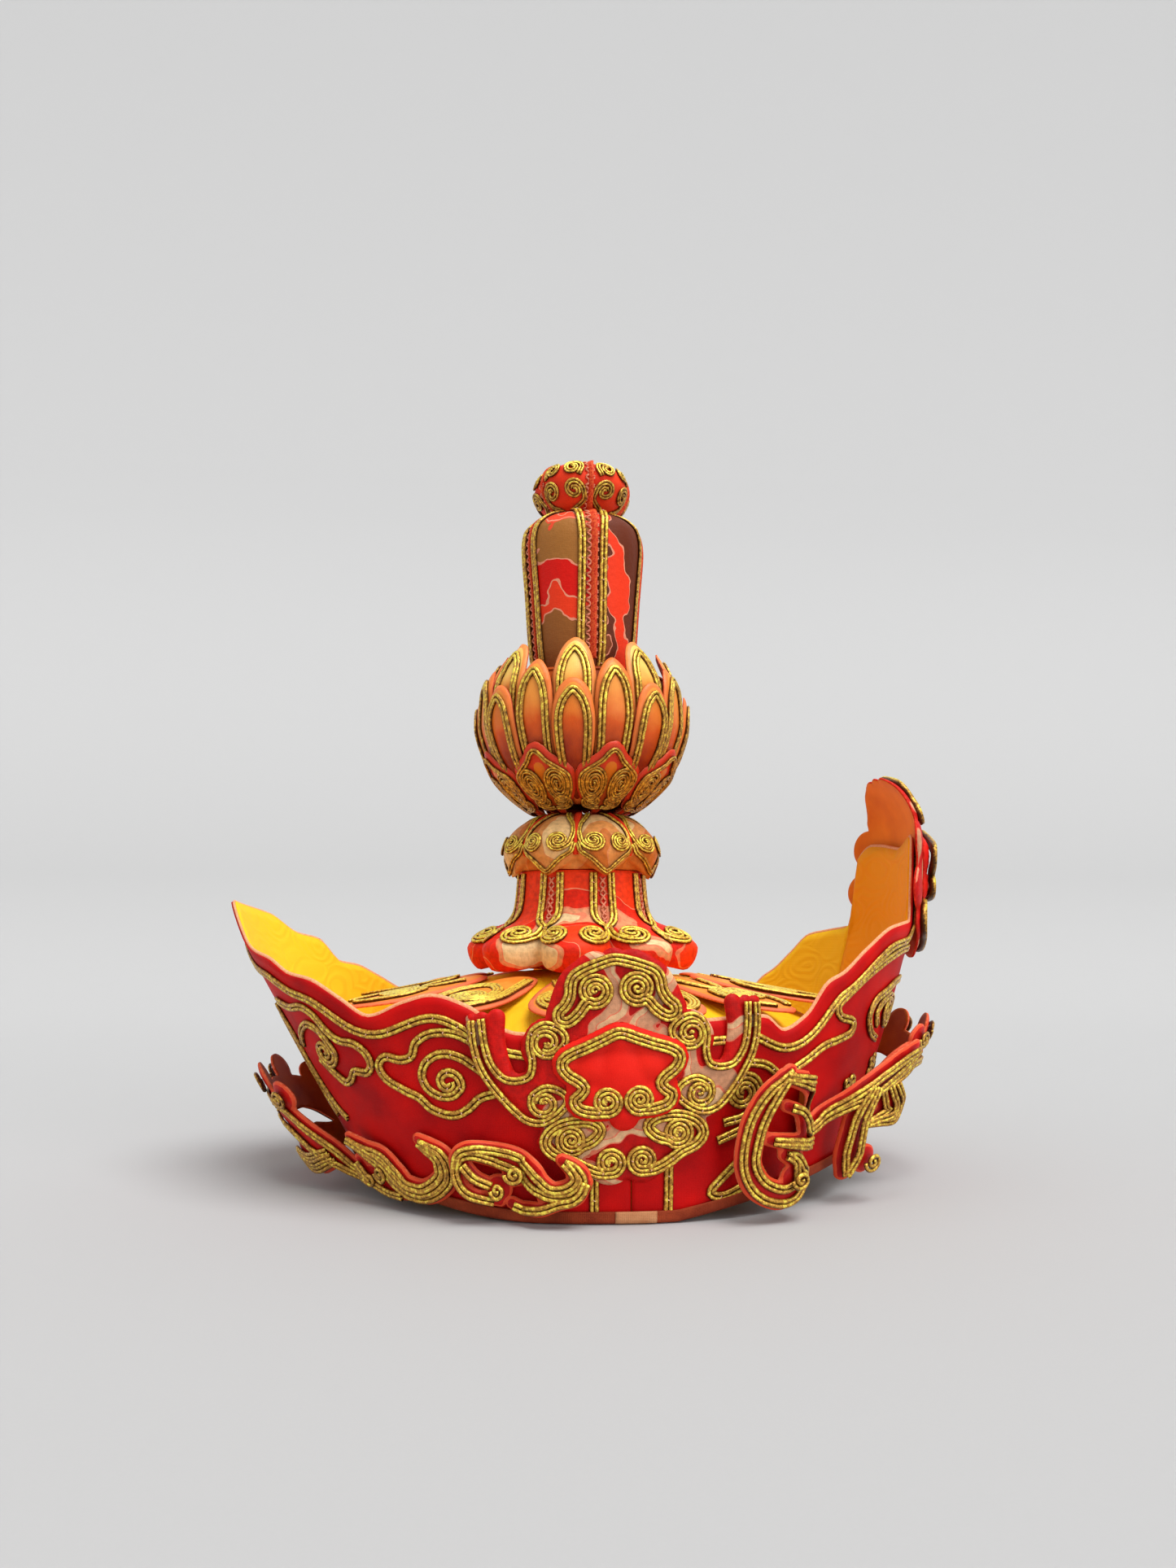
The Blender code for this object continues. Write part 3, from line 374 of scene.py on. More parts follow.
def lining_brocade(name, ground, flower, deep):
    """Jacquard silk: a satin ground with flowers in a duller weave, about 18 mm across.
    The weave is 0.2 mm, drawn at 0.7 mm so that it shows."""
    material, shader = cloth_material(name, Roughness=0.6, Specular_IOR_Level=0.15)
    cloth = add(material, "ShaderNodeUVMap", uv_map="cloth")
    bend = add(material, "ShaderNodeTexNoise", {"Vector": cloth.outputs[0], "Scale": 60.0, "Detail": 1.0})
    spread = add(material, "ShaderNodeVectorMath", {0: bend.outputs["Color"], 3: 0.010},
                 operation="SCALE")
    moved = add(material, "ShaderNodeVectorMath", {0: cloth.outputs[0], 1: spread.outputs[0]},
                operation="ADD")
    cells = add(material, "ShaderNodeTexVoronoi", {"Vector": moved.outputs[0], "Scale": 60.0,
                                                   "Randomness": 0.85})
    rings = add(material, "ShaderNodeMath", {0: cells.outputs["Distance"], 1: 34.0},
                operation="MULTIPLY")
    petal = add(material, "ShaderNodeMath", {0: rings.outputs[0]}, operation="SINE")
    figure = add(material, "ShaderNodeValToRGB", {"Fac": petal.outputs[0]},
                 stops=((0.25, ground), (0.45, flower), (0.8, deep)))
    fade = add(material, "ShaderNodeTexNoise", {"Vector": cloth.outputs[0], "Scale": 25.0})
    amount = add(material, "ShaderNodeValToRGB", {"Fac": fade.outputs["Fac"]},
                 stops=((0.42, "#000000"), (0.6, "#8C8C8C")))
    colour = add(material, "ShaderNodeMix", {0: amount.outputs["Color"], 6: linear(ground),
                                             7: figure.outputs["Color"]}, data_type="RGBA")
    wire(material, colour.outputs[2], shader, "Base Color")
    relief = add(material, "ShaderNodeBump", {"Height": petal.outputs[0], "Distance": 0.0002,
                                              "Strength": 0.4})
    weave(material, shader, 0.7, 0.00008, relief.outputs[0])
    return material


WALL_SATIN = red_satin("red silk satin, woven", "#D80602", "#AC0004")
YELLOW_LINING = lining_brocade("yellow silk jacquard", "#FFC81E", "#F6B814", "#EAA40C")
ORANGE_LINING = lining_brocade("orange silk jacquard", "#FFA406", "#FF9600", "#FF8C00")


def wall_grid(first, last, out, step=1.1, rows=26):
    """Points of a wall panel between two turns, faintly rippled, and their places on the cloth."""
    turns = np.linspace(first, last, int((last - first) / step) + 1)
    low = rim_lift(turns) + BINDING + GAP
    high = edge_height(turns)
    shares = np.linspace(0, 1, rows)[:, None]
    heights = low + shares * (high - low)
    turns = np.broadcast_to(turns, heights.shape)
    ripple = RIPPLE * np.sin(turns * 0.31 + 40 * heights) * np.sin(heights * 95 + turns * 0.11)
    ripple = ripple * np.clip(4 * shares * (1 - shares), 0, 1)
    points = on_wall(turns, heights, out + ripple)
    cloth = np.stack([length_at(np.where(turns > 200, turns - 360, turns)), heights], axis=-1)
    return points, cloth


half_seam = math.degrees(GAP / 2 / RIM_SIDE)
for panel, first, last in (
    ("front", -SEAM_TURN + half_seam, SEAM_TURN - half_seam),
    ("back", SEAM_TURN + half_seam, 360 - SEAM_TURN - half_seam),
):
    outer, cloth = wall_grid(first, last, 0.0)
    satin = grid_piece("wall_satin_" + panel, outer, cloth, [WALL_SATIN], thick=SATIN)
    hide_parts("wall_" + panel)
for part, first, last, silk in (
    ("front_right", -SEAM_TURN + half_seam, -LOBE_LINING, YELLOW_LINING),
    ("front_lobe", -LOBE_LINING, LOBE_LINING, ORANGE_LINING),
    ("front_left", LOBE_LINING, SEAM_TURN - half_seam, YELLOW_LINING),
    ("back", SEAM_TURN + half_seam, 360 - SEAM_TURN - half_seam, YELLOW_LINING),
):
    inner, cloth = wall_grid(first, last, -LINING_FROM)
    lining = grid_piece("wall_lining_" + part, inner, cloth, [silk], thick=SATIN)


# Couched cords
# Gold-wrapped thread twisted into a fine cord, laid on the cloth two or three abreast and sewn
# down with small pale stitches. Where a pair ends it is wound into a flat coil.
CORD = 0.00162
CORD_WIDE = 0.00084
CORD_HIGH = 0.00070
BADGE_CORD = 0.00138
CORD_SIDES = 6
CORD_STEP = 0.0010
CORD_ABOVE = 0.0002
PLY = 0.0010
BUTTON_PITCH = 0.0012
BUTTON_CORE = 0.2
COIL_STEPS = 18
STITCH_EVERY = 0.0085
STITCH = 0.00020


def flowing(points, step=CORD_STEP):
    """A smooth line through given flat points, at even steps."""
    points = np.asarray(points, dtype=float)
    ends = np.vstack([2 * points[0] - points[1], points, 2 * points[-1] - points[-2]])
    t = np.linspace(0, 1, 12, endpoint=False)[:, None]
    line = []
    for a, b, c, d in zip(ends, ends[1:], ends[2:], ends[3:]):
        line.append(0.5 * (2 * b + (c - a) * t + (2 * a - 5 * b + 4 * c - d) * t ** 2
                           + (3 * b - a - 3 * c + d) * t ** 3))
    line = np.vstack(line + [points[-1:]])
    along = np.concatenate(([0], np.cumsum(np.linalg.norm(np.diff(line, axis=0), axis=1))))
    even = np.linspace(0, along[-1], max(3, int(along[-1] / step) + 1))
    return np.stack([np.interp(even, along, line[:, k]) for k in range(2)], axis=-1)


def coil(centre, start, way, pitch=2 * CORD, core=0.28):
    """Points winding in from start round a centre, down to core times pitch from it.

    way is 1 for anticlockwise."""
    centre = np.asarray(centre, dtype=float)
    arm = np.asarray(start, dtype=float) - centre
    radius = np.hypot(*arm)
    angle = math.atan2(arm[1], arm[0])
    turns = max(0.0, (radius - core * pitch) / pitch)
    steps = max(2, int(turns * COIL_STEPS))
    t = np.linspace(0, turns, steps)
    r = radius - pitch * t
    a = angle + way * 2 * math.pi * t
    return centre + np.stack([r * np.cos(a), r * np.sin(a)], axis=-1)


def stroke(points, start=None, end=None, pitch=2 * CORD, core=0.28):
    """A cord's flat line in metres from points in millimetres.

    start and end are (x, y, way) of the coil that the line winds into there, if any."""
    points = np.asarray(points, dtype=float) / 1000
    if end is not None:
        winding = coil((end[0] / 1000, end[1] / 1000), points[-1], end[2], pitch, core)
        points = np.vstack([points, winding[1:]])
    if start is not None:
        winding = coil((start[0] / 1000, start[1] / 1000), points[0], start[2], pitch, core)
        points = np.vstack([winding[1:][::-1], points])
    return flowing(points)


def button(x, y, way, across):
    """The inmost cord of a coil, wound up to its middle: a flat line, from millimetres."""
    centre = np.array([x, y]) / 1000
    return flowing(coil(centre, centre + (across / 1000, 0), way, BUTTON_PITCH, BUTTON_CORE),
                   CORD_STEP / 2)


def beside(line, across):
    """The line moved to its left by a distance."""
    run = np.gradient(line, axis=0)
    run /= np.maximum(np.linalg.norm(run, axis=1, keepdims=True), 1e-9)
    return line + np.asarray(across)[..., None] * np.stack([-run[:, 1], run[:, 0]], axis=-1)


def lifted(surface, x, y, out):
    """Points that stand off a surface, and the way out there. surface gives points for (x, y)."""
    nudge = 0.0001
    here = surface(x, y)
    outwards = np.cross(surface(x + nudge, y) - here, surface(x, y + nudge) - here)
    outwards /= np.maximum(np.linalg.norm(outwards, axis=-1, keepdims=True), 1e-12)
    return here + np.asarray(out)[..., None] * outwards, outwards


def couch(surface, line, count=2, lift=0.0, pitch=CORD, stitches=None):
    """Lays count cords side by side along a flat line. Returns them as (points, outwards)."""
    out = np.full(len(line), lift + 0.8 * CORD_HIGH)
    points, outwards = lifted(surface, line[:, 0], line[:, 1], out)
    run = np.gradient(points, axis=0)
    left = np.cross(outwards, run)
    left /= np.maximum(np.linalg.norm(left, axis=1, keepdims=True), 1e-12)
    laid = [(points + (k - (count - 1) / 2) * pitch * left, outwards) for k in range(count)]
    if stitches is not None:
        span = max(2, int(STITCH_EVERY / CORD_STEP))
        bow = np.linspace(-1, 1, 5)[:, None]
        # each stitch bows over the cords' middle line and slants a little
        for i in range(span // 2, len(line) - 2, span):
            ahead = run[i] / max(np.linalg.norm(run[i]), 1e-12)
            bridge = (points[i] + 0.24 * pitch * bow * left[i] + 0.12 * pitch * bow * ahead
                      + CORD_HIGH * (0.55 + 0.35 * (1 - bow ** 2)) * outwards[i])
            stitches.append((bridge, np.repeat(outwards[i:i + 1], 5, axis=0)))
    return laid


def mirrored(laid):
    """The same cords on the other side of the crown."""
    flip = np.array([1.0, -1.0, 1.0])
    return [(points[::-1] * flip, outwards[::-1] * flip) for points, outwards in laid]


def cords_piece(name, laid, material, wide=CORD_WIDE, high=CORD_HIGH, sides=CORD_SIDES):
    """One mesh of all the cords: each is swept round its line with a flattened section."""
    verts, faces, uvs = [], [], []
    first = 0
    angles = np.arange(sides) * 2 * math.pi / sides
    for points, outwards in laid:
        run = np.gradient(points, axis=0)
        run /= np.maximum(np.linalg.norm(run, axis=1, keepdims=True), 1e-9)
        across = np.cross(run, outwards)
        across /= np.maximum(np.linalg.norm(across, axis=1, keepdims=True), 1e-9)
        up = np.cross(across, run)
        rings = (points[:, None] + across[:, None] * (wide * np.cos(angles))[None, :, None]
                 + up[:, None] * (high * np.sin(angles))[None, :, None])
        count = len(points)
        along = np.concatenate(([0], np.cumsum(np.linalg.norm(np.diff(points, axis=0), axis=1))))
        verts.append(rings.reshape(-1, 3))
        i, k = np.meshgrid(np.arange(count - 1), np.arange(sides), indexing="ij")
        a = first + i * sides + k
        b = first + i * sides + (k + 1) % sides
        faces += np.stack([a, a + sides, b + sides, b], axis=-1).reshape(-1, 4).tolist()
        near, far = along[i], along[i + 1]
        v0, v1 = k / sides, (k + 1) / sides
        uvs.append(np.stack([np.stack([near, v0], -1), np.stack([far, v0], -1),
                             np.stack([far, v1], -1), np.stack([near, v1], -1)], axis=-2).reshape(-1, 2))
        for ring, order in ((0, 1), (count - 1, -1)):
            faces.append([first + ring * sides + j for j in range(sides)][::order])
            uvs.append(np.stack([np.full(sides, along[ring]), np.arange(sides) / sides], axis=-1))
        first += count * sides
    piece = mesh_piece(name, np.vstack(verts), faces, np.vstack(uvs), [material])
    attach(piece, "root")
    return piece


def gold_cord(name, bright, mid, deep):
    """Gilt-wrapped thread, metallic and hard, with slanting grooves between wraps and cloudy wear.
    Its colour carries painted light: a painted highlight on the crown of the cord and on faces that
    point up, and painted shade, dark brown, down its flanks and in the grooves. The wraps lie 0.3 mm
    apart, drawn at 1 mm so that they show."""
    material, shader = cloth_material(name, Metallic=0.55)
    cloth = add(material, "ShaderNodeUVMap", uv_map="cloth")
    parts = add(material, "ShaderNodeSeparateXYZ", {0: cloth.outputs[0]})
    plies = add(material, "ShaderNodeMath", {0: parts.outputs["X"], 1: 2 * math.pi / PLY},
                operation="MULTIPLY")
    twist = add(material, "ShaderNodeMath", {0: parts.outputs["Y"], 1: 2 * math.pi * 3,
                                             2: plies.outputs[0]}, operation="MULTIPLY_ADD")
    groove = add(material, "ShaderNodeMath", {0: twist.outputs[0]}, operation="SINE")
    turned = add(material, "ShaderNodeMath", {0: parts.outputs["Y"], 1: 2 * math.pi}, operation="MULTIPLY")
    crown = add(material, "ShaderNodeMath", {0: turned.outputs[0]}, operation="SINE")
    place = add(material, "ShaderNodeTexCoord")
    wear = add(material, "ShaderNodeTexNoise", {"Vector": place.outputs["Object"], "Scale": 800.0,
                                                "Detail": 2.0})
    # painted light: a painted highlight on the crown of the cord, painted shade down its flanks and in the
    # grooves, with cloudy wear over it
    lit = add(material, "ShaderNodeMath", {0: groove.outputs[0], 1: 0.035, 2: wear.outputs["Fac"]},
              operation="MULTIPLY_ADD")
    shade = add(material, "ShaderNodeMath", {0: crown.outputs[0], 1: 0.36, 2: lit.outputs[0]},
                operation="MULTIPLY_ADD")
    # painted highlight on faces that point up and painted shade on faces that point down
    facing_way = add(material, "ShaderNodeNewGeometry")
    ways = add(material, "ShaderNodeSeparateXYZ", {0: facing_way.outputs["Normal"]})
    painted_top_light = add(material, "ShaderNodeMath", {0: ways.outputs["Z"], 1: 0.18, 2: shade.outputs[0]},
                 operation="MULTIPLY_ADD")
    tone = add(material, "ShaderNodeValToRGB", {"Fac": painted_top_light.outputs[0]},
               stops=((0.46, deep), (0.82, mid), (1.0, bright)))
    wire(material, tone.outputs["Color"], shader, "Base Color")
    rough = add(material, "ShaderNodeMapRange", {"Value": wear.outputs["Fac"], 3: 0.30, 4: 0.48})
    wire(material, rough.outputs[0], shader, "Roughness")
    grain = add(material, "ShaderNodeBump", {"Height": wear.outputs["Fac"], "Distance": 0.0003,
                                             "Strength": 0.2})
    bump = add(material, "ShaderNodeBump", {"Height": groove.outputs[0], "Distance": 0.00002,
                                            "Strength": 0.5, "Normal": grain.outputs[0]})
    wire(material, bump.outputs[0], shader, "Normal")
    return material


def stitch_thread(name, colour, deep):
    """Mercerised sewing thread: a soft twisted cotton with a slight gloss."""
    material, shader = cloth_material(name, Roughness=0.6, Specular_IOR_Level=0.2)
    tone = mottled(material, 1500.0, deep, colour)[2]
    wire(material, tone, shader, "Base Color")
    return material


# deep is the painted shade on the cords' flanks and grooves, bright the painted highlight on their crowns and
# tops
GOLD = gold_cord("gilt thread, twisted and couched", "#FFEA58", "#D0983A", "#4E2C06")
SALMON_THREAD = stitch_thread("salmon cotton thread", "#F0A080", "#D87050")
COUCHING_THREAD = stitch_thread("pale couching thread", "#F6D0A8", "#E8A080")
PIPING_SILK = stitch_thread("rolled silk edge, pressed", "#F6B888", "#E89060")
sewn = []


def wall_at(x, y):
    """The wall's outer face, unrolled: x forwards from the right side seam, y up."""
    return on_wall(turn_at(x), y)


def left_wall_at(x, y):
    """The same on the left side, x backwards, with heights drawn to the edge's own height there."""
    turn = turn_at(-x)
    right, left = edge_height(turn), edge_height(-turn)
    near_edge = np.clip((y / right - 0.3) / 0.6, 0, 1)
    return on_wall(-turn, y * (1 + (left / right - 1) * near_edge))


# Wall embroidery
# Clouds with coiled hearts on both sides of the red satin, a pair of cords that follows the
# scalloped top edge, and short pairs down each side seam.
EDGE_INSET = 6.5
wall_cords = []


def along_edge(first, last, inset):
    """A line that keeps a distance in mm below the wall's top edge, between two lengths in mm."""
    x = np.linspace(first, last, 60)
    y = edge_height(turn_at(x / 1000)) * 1000
    soft = np.convolve(np.pad(y, 2, mode="edge"), np.ones(5) / 5, mode="valid")
    line = np.stack([x, soft], axis=-1)
    return beside(line, -inset)


EDGE_LINES = (
    stroke(along_edge(-154, -12, EDGE_INSET)),
    stroke(along_edge(8, 128, EDGE_INSET)),
)
CLOUDS = (
    # the big cloud behind the side ornament: outline, then its heart
    stroke([(-44, 55), (-49.5, 58), (-53, 61), (-59, 63.6), (-66, 63.3), (-71, 60), (-73, 55.5), (-77, 54),
            (-82.5, 54.8), (-85.5, 51.5), (-83.5, 47), (-77, 43.4), (-72, 41.2), (-68, 37.6), (-61, 35.8),
            (-55.5, 38), (-51, 42), (-44.7, 44)]),
    stroke([(-42, 47), (-49, 50.3), (-56.5, 55.3), (-62.8, 56.6), (-68, 53.8), (-70.2, 49), (-68.6, 44.6),
            (-64.4, 42.2), (-60, 42.6), (-57.2, 45.4)], end=(-61.4, 46.9, 1)),
    # the strips of cord behind the small cloud, down towards the back scroll
    stroke([(-137, 70), (-131, 60), (-128, 50), (-124, 42), (-118, 34), (-112, 30)]),
    stroke([(-143, 66), (-137, 56), (-133, 46), (-129, 38), (-122, 30)]),
    # the small cloud near the back
    stroke([(-131, 72), (-121.5, 70), (-113.5, 70.6), (-108.3, 68), (-104.5, 63), (-100, 59.6), (-94, 58.8),
            (-90, 56), (-88.6, 52), (-91, 48.8), (-96.5, 48.8), (-99.5, 45.6), (-103, 44.4), (-108, 47.4),
            (-114, 52)]),
    stroke([(-124, 56), (-120.5, 61), (-114, 64.4), (-108.7, 62.6), (-105.6, 58.6), (-103.9, 54.6)],
           end=(-109, 54.6, -1)),
    # the second line below the front edge, with its kink
    stroke([(50, 42), (56, 49), (63, 53), (70, 57), (78, 59), (84, 61), (84, 65), (77, 67), (75, 71),
            (81, 76), (90, 82), (101, 87), (112, 90), (124, 91)]),
    # the cloud by the front crest
    stroke([(106, 57), (99, 60), (95, 66), (98, 72), (106, 75), (115, 78), (126, 79)]),
    stroke([(104, 62), (101, 67), (105, 71), (112, 73), (119, 71)], end=(114, 67, -1)),
    # the heart that is half hidden by the side ornament, and the lines round it
    stroke([(30, 33), (37, 34.5), (42, 38), (43.5, 43)], end=(37, 43, 1)),
    stroke([(28, 52), (36, 53), (45, 52), (52, 47)]),
    stroke([(28, 27), (36, 30), (44, 34), (50, 40)]),
    # the leaf low in front of the seam
    stroke([(44, 25), (37, 20), (30, 14), (26, 9.5), (31, 8), (39, 11), (47, 16)]),
    # the pairs down the side seam panel
    stroke([(-14, 4), (-14, 18)]),
    stroke([(11, 4), (11, 22)]),
)
wall_sewn = []
for line in EDGE_LINES + CLOUDS:
    wall_cords += couch(wall_at, line, 2, stitches=wall_sewn)
    wall_cords += couch(left_wall_at, line * (-1, 1), 2, stitches=wall_sewn)
# two small gold knots, each a ring of five tiny loops
KNOTS = ((90, 40), (110, 46))
KNOT_RADIUS = 3.2
LOOP_RADIUS = 1.5
around = np.linspace(0, 2 * math.pi, 9)
for knot in KNOTS:
    for a in np.radians(np.arange(0, 360, 72)):
        middle = np.array(knot) + KNOT_RADIUS * np.array([math.cos(a), math.sin(a)])
        loop = middle + LOOP_RADIUS * np.stack([np.cos(around), np.sin(around)], axis=-1)
        wall_cords += couch(wall_at, stroke(loop), 1)
        wall_cords += couch(left_wall_at, stroke(loop) * (-1, 1), 1)
cords_piece("wall_cords", wall_cords, GOLD)

# the piped edge between the satin and the lining
edge_turns = np.linspace(-180, 180, 420)
edge_line = on_wall(edge_turns, edge_height(edge_turns), -LINING_FROM * 0.85)
edge_out = on_wall(edge_turns, edge_height(edge_turns), 0.0) - edge_line
edge_out /= np.linalg.norm(edge_out, axis=1, keepdims=True)
piping = cords_piece("wall_piping", [(edge_line, edge_out)], PIPING_SILK, wide=0.0012, high=0.00055)


# Rim binding
# A folded strip of brown tape that takes in both layers of the wall along the lower edge, joined
# by a short patch near the right side seam.
BINDING_HEIGHT = 0.0045
BINDING_JOINT = (-7.0, 7.0)
BINDING_FOLD = 0.0015
RIM_ROUND = 0.56


def binding_tape(name, colour, deep):
    """Plain-woven tape with a fine rib, in a cloudy, uneven tone.
    The rib is 0.4 mm, drawn at 0.7 mm so that it shows."""
    material, shader = cloth_material(name, Roughness=0.75, Specular_IOR_Level=0.15)
    tone = mottled(material, 90.0, deep, colour, detail=5.0, low=0.32)[2]
    wire(material, tone, shader, "Base Color")
    weave(material, shader, 0.7, 0.0002)
    return material


BROWN_TAPE = binding_tape("ribbed tape, brown", "#B04A28", "#7E2C16")
PATCH_TAPE = binding_tape("ribbed tape, joint", "#DDA070", "#B87048")


def binding_points(turns, grow=0.0):
    """The folded strip's outside, from its outer hem under the edge to its inner hem."""
    inside = WALL * math.hypot(1, BACK_FLARE) + GAP
    half = (inside + 2 * BINDING + GAP) / 2
    middle = (GAP - inside) / 2
    rows = []
    for share in np.linspace(0, 1, 15):
        if share < 0.3:
            out = middle + half + grow
            up = BINDING_HEIGHT - (BINDING_HEIGHT - BINDING_FOLD) * share / 0.3
        elif share > 0.7:
            out = middle - half - grow
            up = BINDING_FOLD + (BINDING_HEIGHT - BINDING_FOLD) * (share - 0.7) / 0.3
        else:
            a = math.pi * (share - 0.3) / 0.4
            out = middle + (half + grow) * math.cos(a)
            up = BINDING_FOLD * (1 - math.sin(a))
        rows.append(on_wall(turns, rim_lift(turns) + up, out))
    return np.stack(rows, axis=0)


def binding_piece(name, turns, material, closed, grow=0.0):
    """The tape itself, with its length and its folded width as the places on the cloth."""
    points = binding_points(turns, grow)
    cloth = np.zeros(points.shape[:2] + (2,))
    cloth[..., 0] = length_at(turns)
    cloth[..., 1] = np.linspace(0, 4 * BINDING_HEIGHT, len(points))[:, None]
    if closed:
        cloth = np.concatenate([cloth, cloth[:, :1] + (RIM_ROUND, 0)], axis=1)
    piece = grid_piece(name, points[::-1], cloth[::-1], [material], closed, thick=BINDING * 0.6)
    return piece


binding = binding_piece("rim_binding_tape", np.linspace(-180, 180, 301)[:-1], BROWN_TAPE, True)
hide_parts("rim_binding")
joint_turns = np.linspace(*(np.interp(BINDING_JOINT, ROUND_LENGTHS * 1000, ROUND_TURNS)), 12)
binding_piece("rim_binding_joint", joint_turns, PATCH_TAPE, False, grow=0.0003)


# Dome
# The panel of yellow brocade that closes the crown over the head, smooth and slightly domed, under
# twelve padded leaves of orange satin edged with cord that ring the finial's foot.
FINIAL_BEHIND = 0.0110
DOME_EDGE = 0.050
DOME_RISE = 0.032
DOME_FULLNESS = 2.2
DOME = 0.0020
LEAF_COUNT = 12
LEAF_FIRST_TURN = -15.0
LEAF_FROM = 0.44
LEAF_TO = 0.90
LEAF_RISE = 0.0105
LEAF_SEAT = 2.6 * GAP
LEAF_CLOTH = 0.0014


def dome_at(turn, share):
    """Points of the dome's upper face: share is 0 at its middle and 1 at its edge."""
    inset = WALL * math.hypot(1, BACK_FLARE) + GAP
    edge = on_wall(turn, np.full(np.shape(turn), DOME_EDGE), -inset)
    x = -FINIAL_BEHIND * (1 - share) + edge[..., 0] * share
    height = DOME_EDGE + DOME_RISE * (1 - np.clip(share, 0, 1) ** DOME_FULLNESS)
    return np.stack([x, edge[..., 1] * share, height], axis=-1)


dome_turns, dome_shares = np.meshgrid(np.linspace(-180, 180, 121)[:-1], np.linspace(1, 0.02, 26))
dome_points = dome_at(dome_turns, dome_shares)
dome_cloth = np.stack([dome_points[..., 0], dome_points[..., 1]], axis=-1)
dome_cloth = np.concatenate([dome_cloth, dome_cloth[:, :1]], axis=1)
dome = grid_piece("dome_brocade", dome_points, dome_cloth, [YELLOW_LINING], closed=True, thick=DOME)
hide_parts("dome")


def band(rows, pieces=9):
    """Discs strung close along a curved band. rows are (x, y, half width) in mm on its middle line."""
    rows = np.asarray(rows, dtype=float)
    steps = np.arange(len(rows), dtype=float)
    t = np.linspace(0, len(rows) - 1, (len(rows) - 1) * pieces + 1)
    return np.stack([smooth_line(list(zip(steps, rows[:, c])), t) for c in range(3)], axis=-1) / 1000


def depth_in(discs, x, y):
    """How deep points lie inside the shape that the discs cover: less than 0 outside it."""
    depth = np.full(np.shape(x), -1.0)
    for cx, cy, radius in discs:
        depth = np.maximum(depth, radius - np.hypot(x - cx, y - cy))
    return depth


EDGE_SHARE = 0.45
SWELL_OVER = 0.008


def cut_cloth(name, discs, surface, thick, materials, cell=0.0011, roll=0.0030, swell=0.0005, seat=0.0):
    """A padded flat piece cut to the discs' outline and bent to a surface, thinner at its edge.

    materials are for its face, its cut edge and its back. The face rises from the edge over the
    roll, and by swell more over SWELL_OVER."""
    low = np.min(discs[:, :2] - discs[:, 2:], axis=0) - 1.5 * cell
    high = np.max(discs[:, :2] + discs[:, 2:], axis=0) + 1.5 * cell
    across, up = np.ceil((high - low) / cell).astype(int) + 1
    x, y = np.meshgrid(low[0] + np.arange(across) * cell, low[1] + np.arange(up) * cell, indexing="ij")
    kept = depth_in(discs, x[:-1, :-1] + cell / 2, y[:-1, :-1] + cell / 2) > 0
    around = np.zeros(x.shape, dtype=int)
    for i, j in ((0, 0), (1, 0), (1, 1), (0, 1)):
        around[i:i + across - 1, j:j + up - 1] += kept
    rim = (around > 0) & (around < 4)
    for _ in range(4):
        depth = depth_in(discs, x[rim], y[rim])
        nudge = 0.00004
        slope_x = (depth_in(discs, x[rim] + nudge, y[rim]) - depth) / nudge
        slope_y = (depth_in(discs, x[rim], y[rim] + nudge) - depth) / nudge
        steep = np.maximum(slope_x ** 2 + slope_y ** 2, 0.3)
        move = np.clip(depth / steep, -0.35 * cell, 0.35 * cell)
        x[rim] -= move * slope_x
        y[rim] -= move * slope_y
    used = around > 0
    index = np.full(x.shape, -1)
    index[used] = np.arange(used.sum())
    flat_x, flat_y = x[used], y[used]
    depth = np.where(rim[used], 0.0, np.maximum(depth_in(discs, flat_x, flat_y), 0))
    profile = thick * (EDGE_SHARE + (1 - EDGE_SHARE) * np.sqrt(np.clip(depth / roll, 0, 1)))
    profile += swell * np.clip(depth / SWELL_OVER, 0, 1)
    base, outwards = lifted(surface, flat_x, flat_y, np.full(len(flat_x), seat))
    points = np.vstack([base + profile[:, None] * outwards, base])
    count = len(flat_x)
    faces, kinds = [], []
    i, j = np.nonzero(kept)
    quads = np.stack([index[i, j], index[i + 1, j], index[i + 1, j + 1], index[i, j + 1]], axis=-1)
    faces += quads.tolist() + (quads[:, ::-1] + count).tolist()
    kinds += [0] * len(quads) + [2] * len(quads)
    padded_kept = np.pad(kept, 1)
    for di, dj, a, b in ((0, -1, 0, 1), (1, 0, 1, 2), (0, 1, 2, 3), (-1, 0, 3, 0)):
        open_side = ~padded_kept[i + 1 + di, j + 1 + dj]
        start, stop = quads[open_side][:, a], quads[open_side][:, b]
        faces += np.stack([start + count, stop + count, stop, start], axis=-1).tolist()
        kinds += [1] * int(open_side.sum())
    flat = np.stack([np.tile(flat_x, 2), np.tile(flat_y, 2)], axis=-1)
    corners = np.concatenate([np.asarray(face) for face in faces])
    piece = mesh_piece(name, points, faces, flat[corners], materials, kinds)
    edge = piece.data.attributes.new("edge_mm", "FLOAT", "POINT")
    edge.data.foreach_set("value", np.tile(depth * 1000, 2).astype(np.float32))
    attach(piece, "root")
    return piece


def cut_edge(name, colour, deep):
    """The raw edge of a piece: layers of cloth and paper pressed together, slightly furred."""
    material, shader = cloth_material(name, Roughness=0.85, Specular_IOR_Level=0.1)
    _, fur, tone = mottled(material, 900.0, deep, colour, detail=3.0)
    wire(material, tone, shader, "Base Color")
    bump = add(material, "ShaderNodeBump", {"Height": fur, "Distance": 0.0004, "Strength": 0.6})
    wire(material, bump.outputs[0], shader, "Normal")
    return material


def bordered(material, limit, edge, inner):
    """The inner colour, and round it the edge's colour up to a limit in mm from the cut edge."""
    inwards = add(material, "ShaderNodeAttribute", attribute_name="edge_mm")
    inside = add(material, "ShaderNodeMath", {0: inwards.outputs["Fac"], 1: limit},
                 operation="GREATER_THAN")
    colour = add(material, "ShaderNodeMix", {0: inside.outputs[0], 6: linear(edge), 7: inner},
                 data_type="RGBA")
    return colour.outputs[2]


